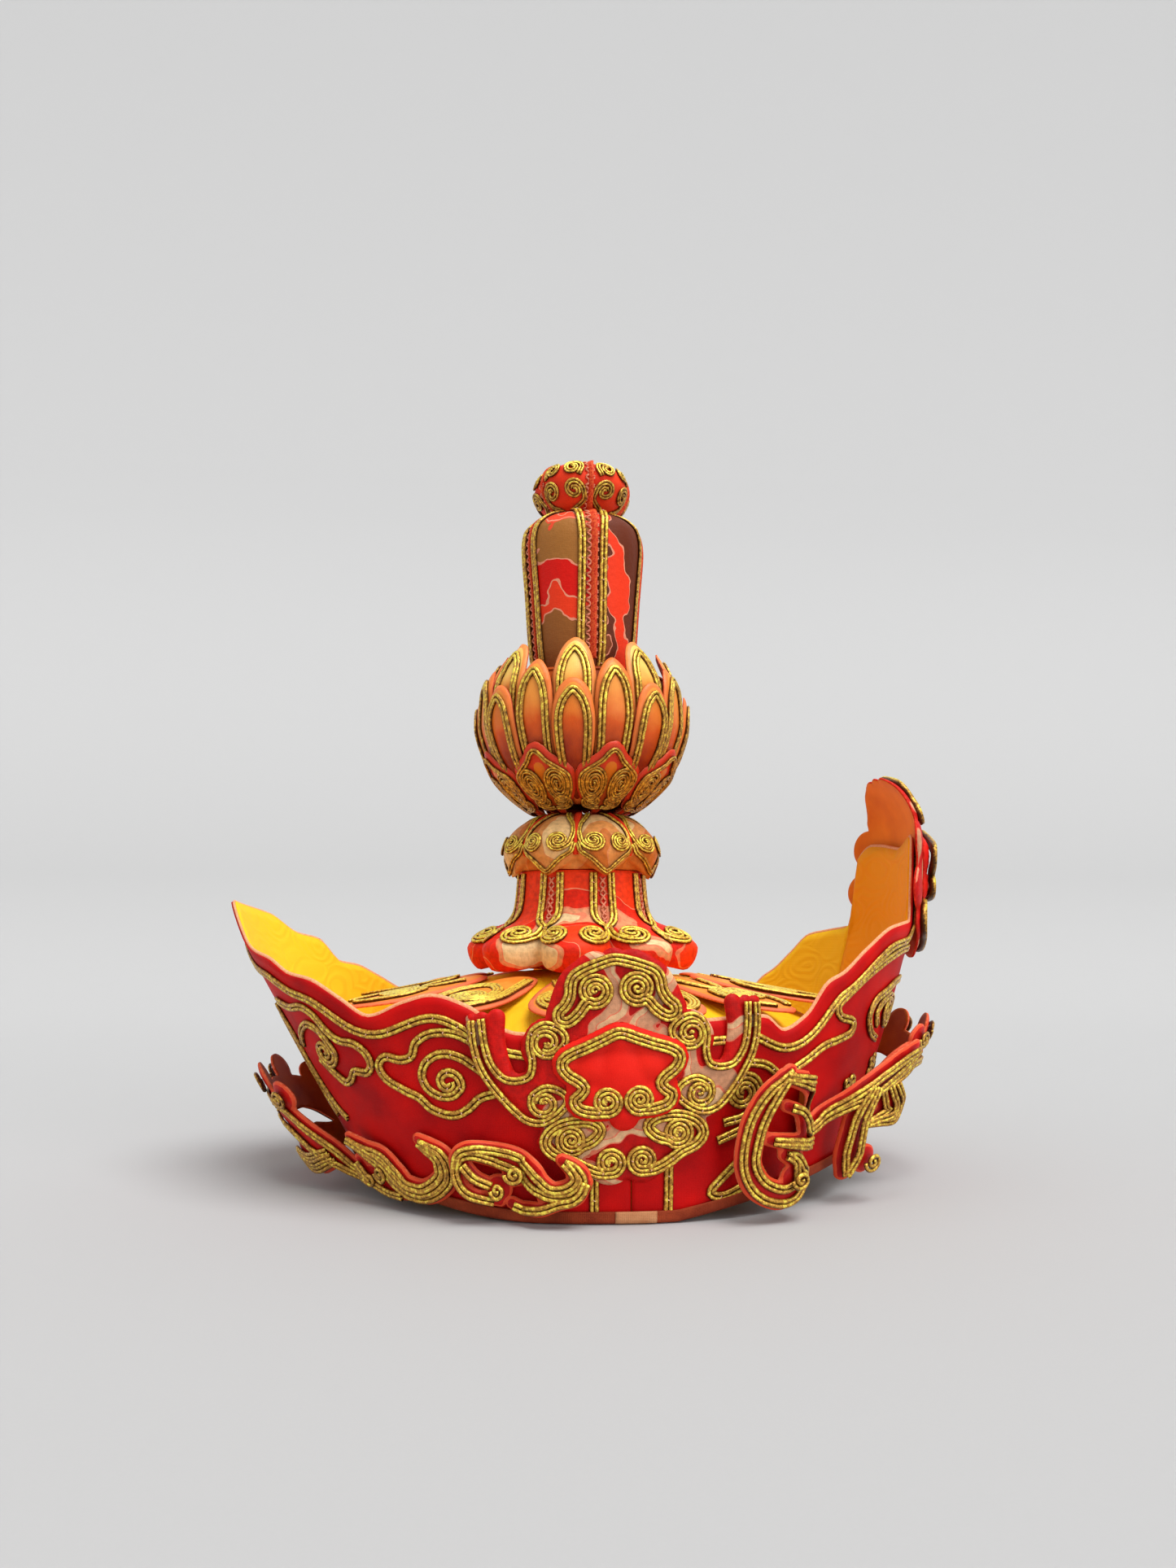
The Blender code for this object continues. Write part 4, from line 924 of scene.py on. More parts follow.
def edged_satin(name, bright, deep, edge, edge_mm=1.3):
    """Satin turned over a stiff core: the face colour, and a border of another cloth round it.
    The weave is 0.2 mm, drawn at 0.6 mm so that it shows."""
    material, shader = cloth_material(name, Roughness=0.5, Specular_IOR_Level=0.2)
    _, mottle, tone = mottled(material, 130.0, deep, bright, detail=4.0)
    ragged = add(material, "ShaderNodeMath", {0: mottle, 1: 0.8}, operation="MULTIPLY")
    limit = add(material, "ShaderNodeMath", {0: ragged.outputs[0], 1: edge_mm - 0.4}, operation="ADD")
    wire(material, bordered(material, limit.outputs[0], edge, tone), shader, "Base Color")
    soft = add(material, "ShaderNodeBump", {"Height": mottle, "Distance": 0.0006, "Strength": 0.4})
    weave(material, shader, 0.6, 0.00005, soft.outputs[0])
    return material


SALMON_EDGE = cut_edge("raw cloth edge, salmon", "#F08058", "#D85030")
RED_EDGE = cut_edge("raw cloth edge, red", "#E84028", "#C01810")
ORANGE_BACK = red_satin("orange-brown lining, glazed", "#C46A1E", "#9A4A10")
LEAF_SATIN = edged_satin("orange satin leaf, padded", "#FAA040", "#EC8428", "#F47A4C", edge_mm=1.8)

# share of the leaf's length, half width in mm
LEAF_SHAPE = ((0.03, 8.0), (0.20, 10.4), (0.42, 12.6), (0.62, 13.4), (0.80, 9.5), (0.92, 4.0), (1.0, 0.8))
# cord lines in turn on the leaves, across in mm and up as a share of the length: a loop that winds
# into a coil, or two hooks over a low arch
LEAF_LOOP = ((-7.0, 0.06), (-8.6, 0.30), (-10.2, 0.55), (-7.6, 0.78), (0, 0.94), (7.6, 0.78), (10.2, 0.55),
             (8.6, 0.32), (2, 0.22), (-4.5, 0.36), (-6.4, 0.54))
LEAF_HOOK = ((-7.5, 0.80), (-9.6, 0.60), (-7, 0.42))
LEAF_ARCH = ((-6.5, 0.08), (-4, 0.28), (0, 0.36), (4, 0.28), (6.5, 0.08))
leaf_cords = []


def flipped(points):
    """The same flat points on the other side of the middle line."""
    return [(-p[0],) + tuple(p[1:]) for p in points]


def pair(points, start=None, end=None, pitch=2 * CORD, core=0.28):
    """A stroke and the same on the other side of the middle line."""
    turned = [None if c is None else (-c[0], c[1], -c[2]) for c in (start, end)]
    return [stroke(points, start, end, pitch, core), stroke(flipped(points), *turned, pitch, core)]


def leaf_lines(tall, hooked):
    """The cord lines of a leaf that is tall mm long."""
    def grown(points):
        return [(x, share * tall) for x, share in points]

    if hooked:
        hooks = pair([(-3, tall - 3.5)] + grown(LEAF_HOOK), end=(-3.6, 0.56 * tall, 1))
        return hooks + [stroke(grown(LEAF_ARCH))]
    return [stroke(grown(LEAF_LOOP), end=(0, 0.54 * tall, -1))]


for i in range(LEAF_COUNT):
    middle = LEAF_FIRST_TURN - 360 * i / LEAF_COUNT
    reach = float(np.linalg.norm(dome_at(np.array([middle]), np.array([1.0]))[0, :2]
                                 - dome_at(np.array([middle]), np.array([0.0]))[0, :2]))
    length = (LEAF_TO - LEAF_FROM) * reach

    def leaf_surface(x, y, middle=middle, reach=reach, length=length):
        share = LEAF_FROM + y / reach
        turn = middle - np.degrees(x / (share * reach))
        points = dome_at(turn, share)
        points[..., 2] += LEAF_SEAT + LEAF_RISE * np.clip(y / length, 0, 1) ** 2
        return points

    shape = band([(0, share * length * 1000, half) for share, half in LEAF_SHAPE], 7)
    leaf = cut_cloth("dome_leaf_cloth_%02d" % (i + 1), shape, leaf_surface, LEAF_CLOTH,
                     [LEAF_SATIN, SALMON_EDGE, ORANGE_BACK], cell=0.0014)
    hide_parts("dome_leaf_%02d" % (i + 1))
    for line in leaf_lines(length * 1000, hooked=i % 2 == 1):
        leaf_cords += couch(leaf_surface, line, 3 - i % 2, lift=LEAF_CLOTH + CORD_ABOVE, pitch=BADGE_CORD)
cords_piece("dome_leaf_cords", leaf_cords, GOLD)


# Finial
# The tall padded ornament on the dome, stuffed and sewn in tiers: a bell with turned-up lobes, a
# cap over its neck, a lotus, and a vase that ends in a bulb. All share one axis and seam turns.
FINIAL_SEAM_TURN = -76.5
LOBE_COUNT = 8
LOBE_TURN = 360 / LOBE_COUNT
FINE_CORD = 0.00106
PANEL_COUNT = 5
PANEL_SEAM_TURN = -84.0


def lobe_share(turn, middle, count, sharp=False):
    """1 in the middle of a lobe, 0 between lobes."""
    pitch = 360 / count
    away = np.abs((turn - middle + pitch / 2) % pitch - pitch / 2) / (pitch / 2)
    return 1 - away if sharp else np.clip(np.cos(away * math.pi / 2), 0, 1) ** 0.6


def padded_form(rows, radius, height, seat, middle, count, zero, sharp=False):
    """A padded turned shape with lobes.

    rows are (radius, height) of a lobe and the same between lobes, from the top down. Returns
    at(turn, up) with up in metres along the lobe from row zero, the highest and lowest up, and
    the lobe's radius at up."""
    table = np.asarray(rows)[::-1] * (radius, height, radius, height)
    steps = np.arange(len(table), dtype=float)
    fine = np.linspace(0, len(table) - 1, 400)
    lines = np.stack([smooth_line(list(zip(steps, table[:, c])), fine) for c in range(4)], axis=-1)
    ups = np.concatenate(([0], np.cumsum(np.hypot(np.diff(lines[:, 0]), np.diff(lines[:, 1])))))
    ups -= np.interp(len(table) - 1 - zero, fine, ups)

    def at(turn, up):
        turn, up = np.broadcast_arrays(np.asarray(turn, dtype=float), np.asarray(up, dtype=float))
        round_share = lobe_share(turn, middle, count)
        height_share = lobe_share(turn, middle, count, sharp=True) if sharp else round_share
        low = [np.interp(up, ups, lines[:, c]) for c in range(4)]
        r = low[2] + (low[0] - low[2]) * round_share
        z = low[3] + (low[1] - low[3]) * height_share
        angle = np.radians(turn)
        return np.stack([r * np.cos(angle) - FINIAL_BEHIND, r * np.sin(angle), seat + z], axis=-1)

    return at, ups[-1], ups[0], lambda up: np.interp(up, ups, lines[:, 0])


def form_piece(name, at, high, low, material, columns=192, rows=56):
    """The cushion itself, closed at its top and foot, with cloth measured round and up it."""
    turns = np.linspace(-180, 180, columns + 1)[:-1]
    ups = np.linspace(low, high, rows)
    points = at(turns[None, :], ups[:, None])
    ring = np.linspace(0, 2 * math.pi * np.ptp(points[..., 0]) / 2, columns + 1)
    cloth = np.stack(np.broadcast_arrays(ring[None, :], ups[:, None]), axis=-1)
    faces, corners = grid_faces(rows, columns, True)
    uvs = cloth[corners[:, 0], corners[:, 1]]
    for row, order in ((0, -1), (rows - 1, 1)):
        faces.append([row * columns + j for j in range(columns)][::order])
        uvs = np.vstack([uvs, np.zeros((columns, 2))])
    piece = mesh_piece(name, points.reshape(-1, 3), faces, uvs, [material])
    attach(piece, "root")
    return piece


def facing(at, radius_at, centre):
    """A form's surface round one turn: x round it and y up it, in metres."""
    return lambda x, y: at(centre + np.degrees(x / np.maximum(radius_at(y), 0.004)), y)


def outlined_patches(material, value, stops, outline, line_width):
    """Patches of flat colour where a value lies between stops, with a thin line where they meet."""
    patches = add(material, "ShaderNodeValToRGB", {"Fac": value}, stops=stops)
    patches.color_ramp.interpolation = "CONSTANT"
    line = None
    for edge, colour in stops[1:]:
        gap = add(material, "ShaderNodeMath", {0: value, 1: edge, 2: line_width}, operation="COMPARE")
        if line is None:
            line = gap
        else:
            line = add(material, "ShaderNodeMath", {0: line.outputs[0], 1: gap.outputs[0]},
                       operation="MAXIMUM")
    edged = add(material, "ShaderNodeMix", {0: line.outputs[0], 6: patches.outputs["Color"],
                                            7: linear(outline)}, data_type="RGBA")
    return edged.outputs[2]


def floss_rows(material, shader, place):
    """Satin stitch in floss over the whole face. The rows are 0.3 mm, drawn at 0.7 mm so that they
    show. Returns the floss's height."""
    floss = add(material, "ShaderNodeTexNoise", {"Vector": place.outputs["Object"], "Scale": 500.0,
                                                 "Detail": 2.0})
    relief = add(material, "ShaderNodeBump", {"Height": floss.outputs["Fac"], "Distance": 0.0005,
                                              "Strength": 0.5})
    weave(material, shader, 0.7, 0.00006, relief.outputs[0])
    return floss.outputs["Fac"]


def cloud_brocade(name, stops, size_mm, outline, seed):
    """Cloud-patterned brocade: patches with wavy borders, each worked in floss of one colour and
    edged with a thin line of pale thread. size_mm is about the size of a cloud."""
    material, shader = cloth_material(name, Roughness=0.55, Specular_IOR_Level=0.18)
    place = add(material, "ShaderNodeTexCoord")
    shift = add(material, "ShaderNodeVectorMath", {0: place.outputs["Object"],
                                                   1: (seed, seed * 0.7, seed * 1.3)}, operation="ADD")
    ripple = add(material, "ShaderNodeTexNoise", {"Vector": shift.outputs[0], "Scale": 2400.0 / size_mm,
                                                  "Detail": 1.0})
    spread = add(material, "ShaderNodeVectorMath", {0: ripple.outputs["Color"], 3: size_mm / 3200},
                 operation="SCALE")
    moved = add(material, "ShaderNodeVectorMath", {0: shift.outputs[0], 1: spread.outputs[0]},
                operation="ADD")
    field = add(material, "ShaderNodeTexNoise", {"Vector": moved.outputs[0], "Scale": 1000.0 / size_mm,
                                                 "Detail": 0.0})
    clouds = outlined_patches(material, field.outputs["Fac"], stops, outline, line_width=0.006)
    shade = add(material, "ShaderNodeValToRGB", {"Fac": floss_rows(material, shader, place)},
                stops=((0.3, "#DCDCDC"), (0.65, "#FFFFFF")))
    colour = add(material, "ShaderNodeMix", {0: 1.0, 6: clouds, 7: shade.outputs["Color"]},
                 data_type="RGBA", blend_type="MULTIPLY")
    wire(material, colour.outputs[2], shader, "Base Color")
    return material


def seam_crosses(surface, low, high, half, every=0.0032):
    """Cross stitches over a seam that runs up a surface at x = 0, as thin bowed threads."""
    laid = []
    for y in np.arange(low, high - every, every):
        for a, b in ((-1, 1), (1, -1)):
            t = np.linspace(0, 1, 5)
            x = half * (a + (b - a) * t)
            rise = y + every * t * 0.9
            points, outwards = lifted(surface, x, rise, 0.0004 + 0.0003 * np.sin(t * math.pi))
            laid.append((points, outwards))
    return laid


RED_CLOUDS = cloud_brocade(
    "cloud brocade, vermilion",
    ((0.0, "#FF4014"), (0.52, "#F02A0C"), (0.66, "#F4A070"), (0.70, "#FCD8A0")),
    size_mm=24, outline="#FA8C64", seed=0.30)
# the cream patches are painted sheen, laid out as a figure over the tan satin
CAP_SATIN = cloud_brocade(
    "figured satin, apricot",
    ((0.0, "#D87830"), (0.45, "#E89850"), (0.62, "#F8C888")),
    size_mm=22, outline="#E89058", seed=0.52)
SEAM_SATIN = red_satin("vermilion satin, stuffed roll", "#F44420", "#D8240E")
SEAM_FLOSS = stitch_thread("floss in vermilion, long stitches", "#F06830", "#C81410")


# Bell
# Eight stuffed brocade panels that flare into turned-up lobes. A pair of cords follows each panel's
# edge and winds into a flat disc on the lobe; the seams between are oversewn in salmon thread.
BELL_HEIGHT = 0.0388
BELL_RADIUS = 0.0473
BELL_SEAT = DOME_EDGE + DOME_RISE + GAP
# from where to where up its seams the bell is oversewn, and half the stitches' width
BELL_SEAM = (0.017, 0.040, 0.0011)
BELL = (
    (0.533, 1.000, 0.533, 1.000),
    (0.546, 0.790, 0.546, 0.790),
    (0.567, 0.610, 0.567, 0.610),
    (0.634, 0.492, 0.592, 0.480),
    (0.782, 0.415, 0.645, 0.376),
    (0.920, 0.325, 0.677, 0.273),
    (1.000, 0.209, 0.687, 0.196),
    (0.973, 0.080, 0.677, 0.130),
    (0.888, -0.023, 0.655, 0.080),
    (0.825, 0.003, 0.634, 0.054),
    (0.550, 0.041, 0.550, 0.041),
    (0.507, 0.000, 0.507, 0.000),
)
LOBE_MIDDLE = FINIAL_SEAM_TURN - LOBE_TURN / 2
bell_at, bell_high, bell_low, bell_radius = padded_form(
    BELL, BELL_RADIUS, BELL_HEIGHT, BELL_SEAT, LOBE_MIDDLE, LOBE_COUNT, zero=6)
bell = form_piece("bell_cushion", bell_at, bell_high, bell_low, RED_CLOUDS, columns=176, rows=44)
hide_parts("finial_bell")

finial_cords = []
finial_sewn = []
seam_threads = []
BELL_CORDS = pair([(-6.4, 41), (-6.5, 30), (-7.0, 24), (-9.4, 19.5), (-12.6, 15.8), (-13.9, 9.8)],
                  end=(-7.9, 9.2, 1))
for i in range(LOBE_COUNT):
    panel = facing(bell_at, bell_radius, LOBE_MIDDLE + LOBE_TURN * i)
    for line in BELL_CORDS:
        finial_cords += couch(panel, line, 2, stitches=finial_sewn)
    seam = facing(bell_at, bell_radius, FINIAL_SEAM_TURN + LOBE_TURN * i)
    seam_threads += seam_crosses(seam, *BELL_SEAM)


# Cap
# A ring of eight padded satin lobes sewn over the bell's neck, each with two coils and a pointed
# double border of cord, and a stuffed roll of vermilion satin between neighbours.
CAP_HEIGHT = 0.0225
CAP_RADIUS = 0.0326
CAP_SEAT = BELL_SEAT + BELL_HEIGHT + GAP
CAP_ROLL = (-0.0055, 0.024)
CAP = (
    (0.393, 1.000, 0.393, 1.000),
    (0.583, 0.964, 0.552, 0.920),
    (0.798, 0.809, 0.736, 0.742),
    (0.951, 0.564, 0.844, 0.520),
    (1.000, 0.298, 0.874, 0.364),
    (0.951, 0.053, 0.853, 0.253),
    (0.890, -0.133, 0.828, 0.187),
    (0.844, -0.080, 0.798, 0.142),
    (0.782, 0.000, 0.782, 0.000),
)
CAP_CORDS = (pair([(-2.6, 24.5), (-4.8, 19), (-8.6, 13.4), (-10.2, 8.6), (-10.0, 4.0)], end=(-5.5, 4.0, 1),
                  pitch=2 * FINE_CORD)
             + [stroke([(-11.6, 3.0), (-10.4, -2.0), (-6.4, -4.6), (0, -8.2), (6.4, -4.6), (10.4, -2.0),
                        (11.6, 3.0)])])
cap_at, cap_high, cap_low, cap_radius = padded_form(
    CAP, CAP_RADIUS, CAP_HEIGHT, CAP_SEAT, FINIAL_SEAM_TURN, LOBE_COUNT, zero=4, sharp=True)
cap = form_piece("cap_cushion", cap_at, cap_high, cap_low, CAP_SATIN, columns=176, rows=36)
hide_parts("finial_cap")
fine_cords = []
rolls = []
for i in range(LOBE_COUNT):
    lobe = facing(cap_at, cap_radius, FINIAL_SEAM_TURN + LOBE_TURN * i)
    for line in CAP_CORDS:
        fine_cords += couch(lobe, line, 2, pitch=FINE_CORD)
    seam = facing(cap_at, cap_radius, LOBE_MIDDLE + LOBE_TURN * i)
    roll = np.linspace(*CAP_ROLL, 40)
    rolls.append(lifted(seam, 0 * roll, roll, np.full(len(roll), 0.0004)))
cap_rolls = cords_piece("cap_rolls", rolls, SEAM_SATIN, wide=0.0017, high=0.0013, sides=8)


# Lotus
# A stuffed body clothed in rings of petals, each a stiffened piece of orange satin with a salmon
# turned edge and a double cord that follows its outline, over a calyx of corded cloud sepals.
LOTUS_HEIGHT = 0.0660
LOTUS_RADIUS = 0.0425
LOTUS_SEAT = CAP_SEAT + CAP_HEIGHT + GAP
VASE_FOOT_SHARE = 0.79
CUP_DIP = 0.84
# the cloth's length round the cup and up it
CUP_CLOTH = (0.26, 0.09)
PETAL = 0.0012
PETAL_CURVE = 1.08
PETAL_EDGE_MM = 2.2
SEPAL_MARGIN = 0.0030
# the small coils lie under the sepals, where the lotus draws in to its foot
FOOT_COIL_SHARE = 0.075
FOOT_COIL_SLOPE = 1.9
FOOT_COIL_OUT = 0.0016
FOOT_RADIUS = 0.0245
LOTUS = (
    (0.320, 0.000), (0.460, 0.040), (0.635, 0.120), (0.815, 0.240), (0.940, 0.380),
    (1.000, 0.540), (0.985, 0.715), (0.900, 0.865), (0.790, 1.000),
)
PETAL_SHAPE = ((0.02, 0.62), (0.28, 0.92), (0.55, 1.0), (0.80, 0.85), (0.91, 0.54), (0.985, 0.14))
LOTUS_STEPS = np.linspace(0, 1, 200)
lotus_radii = LOTUS_RADIUS * smooth_line([(up, radius) for radius, up in LOTUS], LOTUS_STEPS)
lotus_lean = np.gradient(lotus_radii, LOTUS_STEPS * LOTUS_HEIGHT)


def lotus_at(turn, share, depth):
    """Points at a depth inside the lotus outline."""
    turn, share, depth = np.broadcast_arrays(*(np.asarray(v, dtype=float) for v in (turn, share, depth)))
    lean = np.clip(np.interp(share, LOTUS_STEPS, lotus_lean), -1.6, 1.6)
    across = depth / np.sqrt(1 + lean ** 2)
    r = np.interp(share, LOTUS_STEPS, lotus_radii) - across
    z = LOTUS_SEAT + LOTUS_HEIGHT * share + across * lean
    angle = np.radians(turn)
    return np.stack([r * np.cos(angle) - FINIAL_BEHIND, r * np.sin(angle), z], axis=-1)


def petal_satin(name, foot, middle, top, edge, low_mm, high_mm):
    """Orange satin with painted light up its height: painted shade at the foot and a painted highlight
    towards the top, and a salmon border where the edge is turned over.
    The weave is 0.2 mm, drawn at 0.6 mm so that it shows."""
    material, shader = cloth_material(name, Roughness=0.42, Specular_IOR_Level=0.3)
    cloth = add(material, "ShaderNodeUVMap", uv_map="cloth")
    parts = add(material, "ShaderNodeSeparateXYZ", {0: cloth.outputs[0]})
    place = add(material, "ShaderNodeTexCoord")
    mottle = add(material, "ShaderNodeTexNoise", {"Vector": place.outputs["Object"], "Scale": 110.0,
                                                  "Detail": 3.0})
    # painted shade at the foot rising to a painted highlight at the top, by height up the cloth, made uneven
    # by the mottle
    height = add(material, "ShaderNodeMapRange", {"Value": parts.outputs["Y"], 1: low_mm / 1000,
                                                  2: high_mm / 1000})
    uneven = add(material, "ShaderNodeMath", {0: mottle.outputs["Fac"], 1: 0.5, 2: -0.25},
                 operation="MULTIPLY_ADD")
    total = add(material, "ShaderNodeMath", {0: height.outputs[0], 1: uneven.outputs[0]}, operation="ADD")
    tone = add(material, "ShaderNodeValToRGB", {"Fac": total.outputs[0]},
               stops=((0.1, foot), (0.5, middle), (0.9, top)))
    wire(material, bordered(material, PETAL_EDGE_MM, edge, tone.outputs["Color"]), shader, "Base Color")
    soft = add(material, "ShaderNodeBump", {"Height": mottle.outputs["Fac"], "Distance": 0.0006,
                                            "Strength": 0.3})
    weave(material, shader, 0.6, 0.00005, soft.outputs[0])
    return material


# on every petal and sepal the foot colour is painted shade and the top colour a painted highlight
PETAL_SATIN = petal_satin("orange satin petal, stiffened", "#8A1E04", "#E05A10", "#F89C3C", "#F48038",
                          8, 44)
INNER_SATIN = petal_satin("orange satin petal, pale top", "#C04808", "#F08420", "#FFD068", "#FA9448", 4, 34)
SEPAL_SATIN = petal_satin("orange satin sepal", "#A03808", "#D06810", "#E88020", "#D83818", 0, 20)
ORANGE_SATIN = red_satin("orange satin, stuffed body", "#C85810", "#8E3008")


def petal_ring(name, nodes, centre, depth, foot, tip, satin, shape, lines, pitch=CORD, flare=0.0):
    """Makes a ring of petals cut to a shape of discs. Returns the cords along lines on each.

    foot and tip are shares of the lotus's height. flare is how far the tips bend out."""
    tall = petal_length(foot, tip)
    laid = []
    for i in range(LOBE_COUNT):
        middle = centre - LOBE_TURN * i

        def surface(x, y):
            share = foot + (tip - foot) * y / tall
            out = flare * np.clip(y / tall - 0.45, 0, 1) ** 2
            return lotus_at(middle + np.degrees(x / LOTUS_RADIUS), share, depth + PETAL - out)

        petal = cut_cloth("%s_%d_satin" % (name, i + 1), shape, surface, PETAL,
                          [satin, SALMON_EDGE, ORANGE_SATIN], cell=0.0012)
        if nodes:
            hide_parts("%s_%d" % (name, i + 1))
        for line in lines:
            laid += couch(surface, line, 2, lift=PETAL + CORD_ABOVE, pitch=pitch)
    return laid


def petal_length(foot, tip):
    """A petal's length along its curve, a little more than the height that it covers."""
    return LOTUS_HEIGHT * (tip - foot) * PETAL_CURVE


def petal_shape(foot, tip, half_mm):
    """The discs of a pointed petal, half_mm from its middle line to its widest place."""
    tall = petal_length(foot, tip) * 1000
    return band([(0, share * tall, half_mm * half) for share, half in PETAL_SHAPE], 9)


def arch(tall):
    """The pointed arch of cord inside a petal's edge, for a petal that is tall mm long."""
    side = [(-4.2, 3), (-5.2, 0.25 * tall), (-5.6, 0.50 * tall), (-5.3, 0.66 * tall), (-3.9, 0.79 * tall),
            (-1.4, 0.875 * tall)]
    return [stroke(side + [(0, 0.9 * tall)] + flipped(side)[::-1])]


def hem(lines, radius):
    """Discs along the cords, so that the cloth under them is cut with an even margin."""
    return np.vstack([np.column_stack([line[::2], np.full(len(line[::2]), radius)]) for line in lines])


HEART = [(-14.0, 7.9), (-13.2, 10.8), (-8.6, 13.4), (-4.3, 16.0), (-2.4, 18.2), (0, 19.6)]
HEART_CORDS = [stroke(HEART + flipped(HEART)[::-1][1:], start=(-7.4, 7.7, 1), end=(7.4, 7.7, -1),
                      pitch=2 * FINE_CORD)]
SEPAL_DISCS = np.array([(0, 6, 7.0), (0, 12.5, 5.0), (-7, 7.5, 7.0), (7, 7.5, 7.0), (0, 0.5, 5.0)]) / 1000

for name, nodes, centre, layer, foot, tip, half_mm, satin, flare in (
    ("petal_inner", False, LOBE_MIDDLE, 2, 0.42, 1.0, 9.6, INNER_SATIN, 0.001),
    ("petal_middle", True, FINIAL_SEAM_TURN, 1, 0.10, 0.865, 8.6, PETAL_SATIN, 0.002),
    ("petal_outer", True, LOBE_MIDDLE, 0, 0.10, 0.715, 8.6, PETAL_SATIN, 0.002),
):
    finial_cords += petal_ring(
        name, nodes, centre, layer * (PETAL + GAP), foot, tip, satin,
        petal_shape(foot, tip, half_mm), arch(petal_length(foot, tip) * 1000), flare=flare)
sepal_shape = np.vstack([SEPAL_DISCS, hem(HEART_CORDS, SEPAL_MARGIN)])
fine_cords += petal_ring("sepal", True, FINIAL_SEAM_TURN, -(PETAL + GAP), 0.06, 0.375, SEPAL_SATIN,
                         sepal_shape, HEART_CORDS, pitch=FINE_CORD)

# the stuffed body inside the petals, closed above by a level lid that the vase stands on
cup_shares = np.linspace(0, CUP_DIP, 30)
cup_turns = np.linspace(-180, 180, 97)[:-1]
cup_rings = lotus_at(cup_turns[None, :], cup_shares[:, None], 3 * (PETAL + GAP))
lid_depths = np.array([[0.005], [0.012], [0.026]])
lid = lotus_at(cup_turns[None, :], np.full((3, 1), VASE_FOOT_SHARE), lid_depths)
lid[..., 2] = LOTUS_SEAT + LOTUS_HEIGHT * VASE_FOOT_SHARE
cup_rings = np.concatenate([cup_rings, lid])
cup_cloth = np.stack(np.meshgrid(np.linspace(0, CUP_CLOTH[0], len(cup_turns) + 1),
                                 np.linspace(0, CUP_CLOTH[1], len(cup_rings))), axis=-1)
cup = grid_piece("lotus_body", cup_rings, cup_cloth, [ORANGE_SATIN], closed=True)
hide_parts("lotus_cup")

# the ring of small coils under the sepals
COIL_PAIR = pair([(-0.4, -2.9), (-3.7, -3.2), (-6.6, -1.6), (-7.1, 0.6)], end=(-3.9, 0.4, -1),
                 pitch=2 * FINE_CORD)
for i in range(LOBE_COUNT):
    def foot_surface(x, y, middle=FINIAL_SEAM_TURN + LOBE_TURN * i):
        share = FOOT_COIL_SHARE + y / (LOTUS_HEIGHT * FOOT_COIL_SLOPE)
        return lotus_at(middle + np.degrees(x / FOOT_RADIUS), share, -FOOT_COIL_OUT)

    for line in COIL_PAIR:
        fine_cords += couch(foot_surface, line, 2, pitch=FINE_CORD)


# Vase
# Five stuffed brocade panels, drawn in along the seams and at the neck. A pair of cords frames each
# panel and runs on through the neck to the bulb.
VASE_HEIGHT = 0.0680
VASE_RADIUS = 0.0247
VASE_SEAT = LOTUS_SEAT + LOTUS_HEIGHT * VASE_FOOT_SHARE + GAP
VASE_DRAWN_IN = 0.07
VASE = (
    (0.78, 0.000), (0.87, 0.200), (0.94, 0.520), (1.00, 0.790), (0.96, 0.890), (0.76, 0.965), (0.52, 1.000),
)
BULB_HEIGHT = 0.0200
BULB_RADIUS = 0.0195
BULB_SEAT = VASE_SEAT + VASE_HEIGHT + GAP
BULB_DRAWN_IN = 0.12
BULB = (
    (0.56, 0.000), (0.74, 0.120), (0.93, 0.330), (1.00, 0.530), (0.93, 0.770), (0.66, 0.940), (0.24, 1.000),
)
PANEL_TURN = 360 / PANEL_COUNT
PANEL_MIDDLE = PANEL_SEAM_TURN - PANEL_TURN / 2


def panelled(rows, radius, height, seat, drawn_in):
    """A padded form of panels, whose seams are drawn in by a share of its radius."""
    table = [(r, up, r * (1 - drawn_in), up) for r, up in reversed(rows)]
    return padded_form(table, radius, height, seat, PANEL_MIDDLE, PANEL_COUNT, zero=len(rows) - 1)


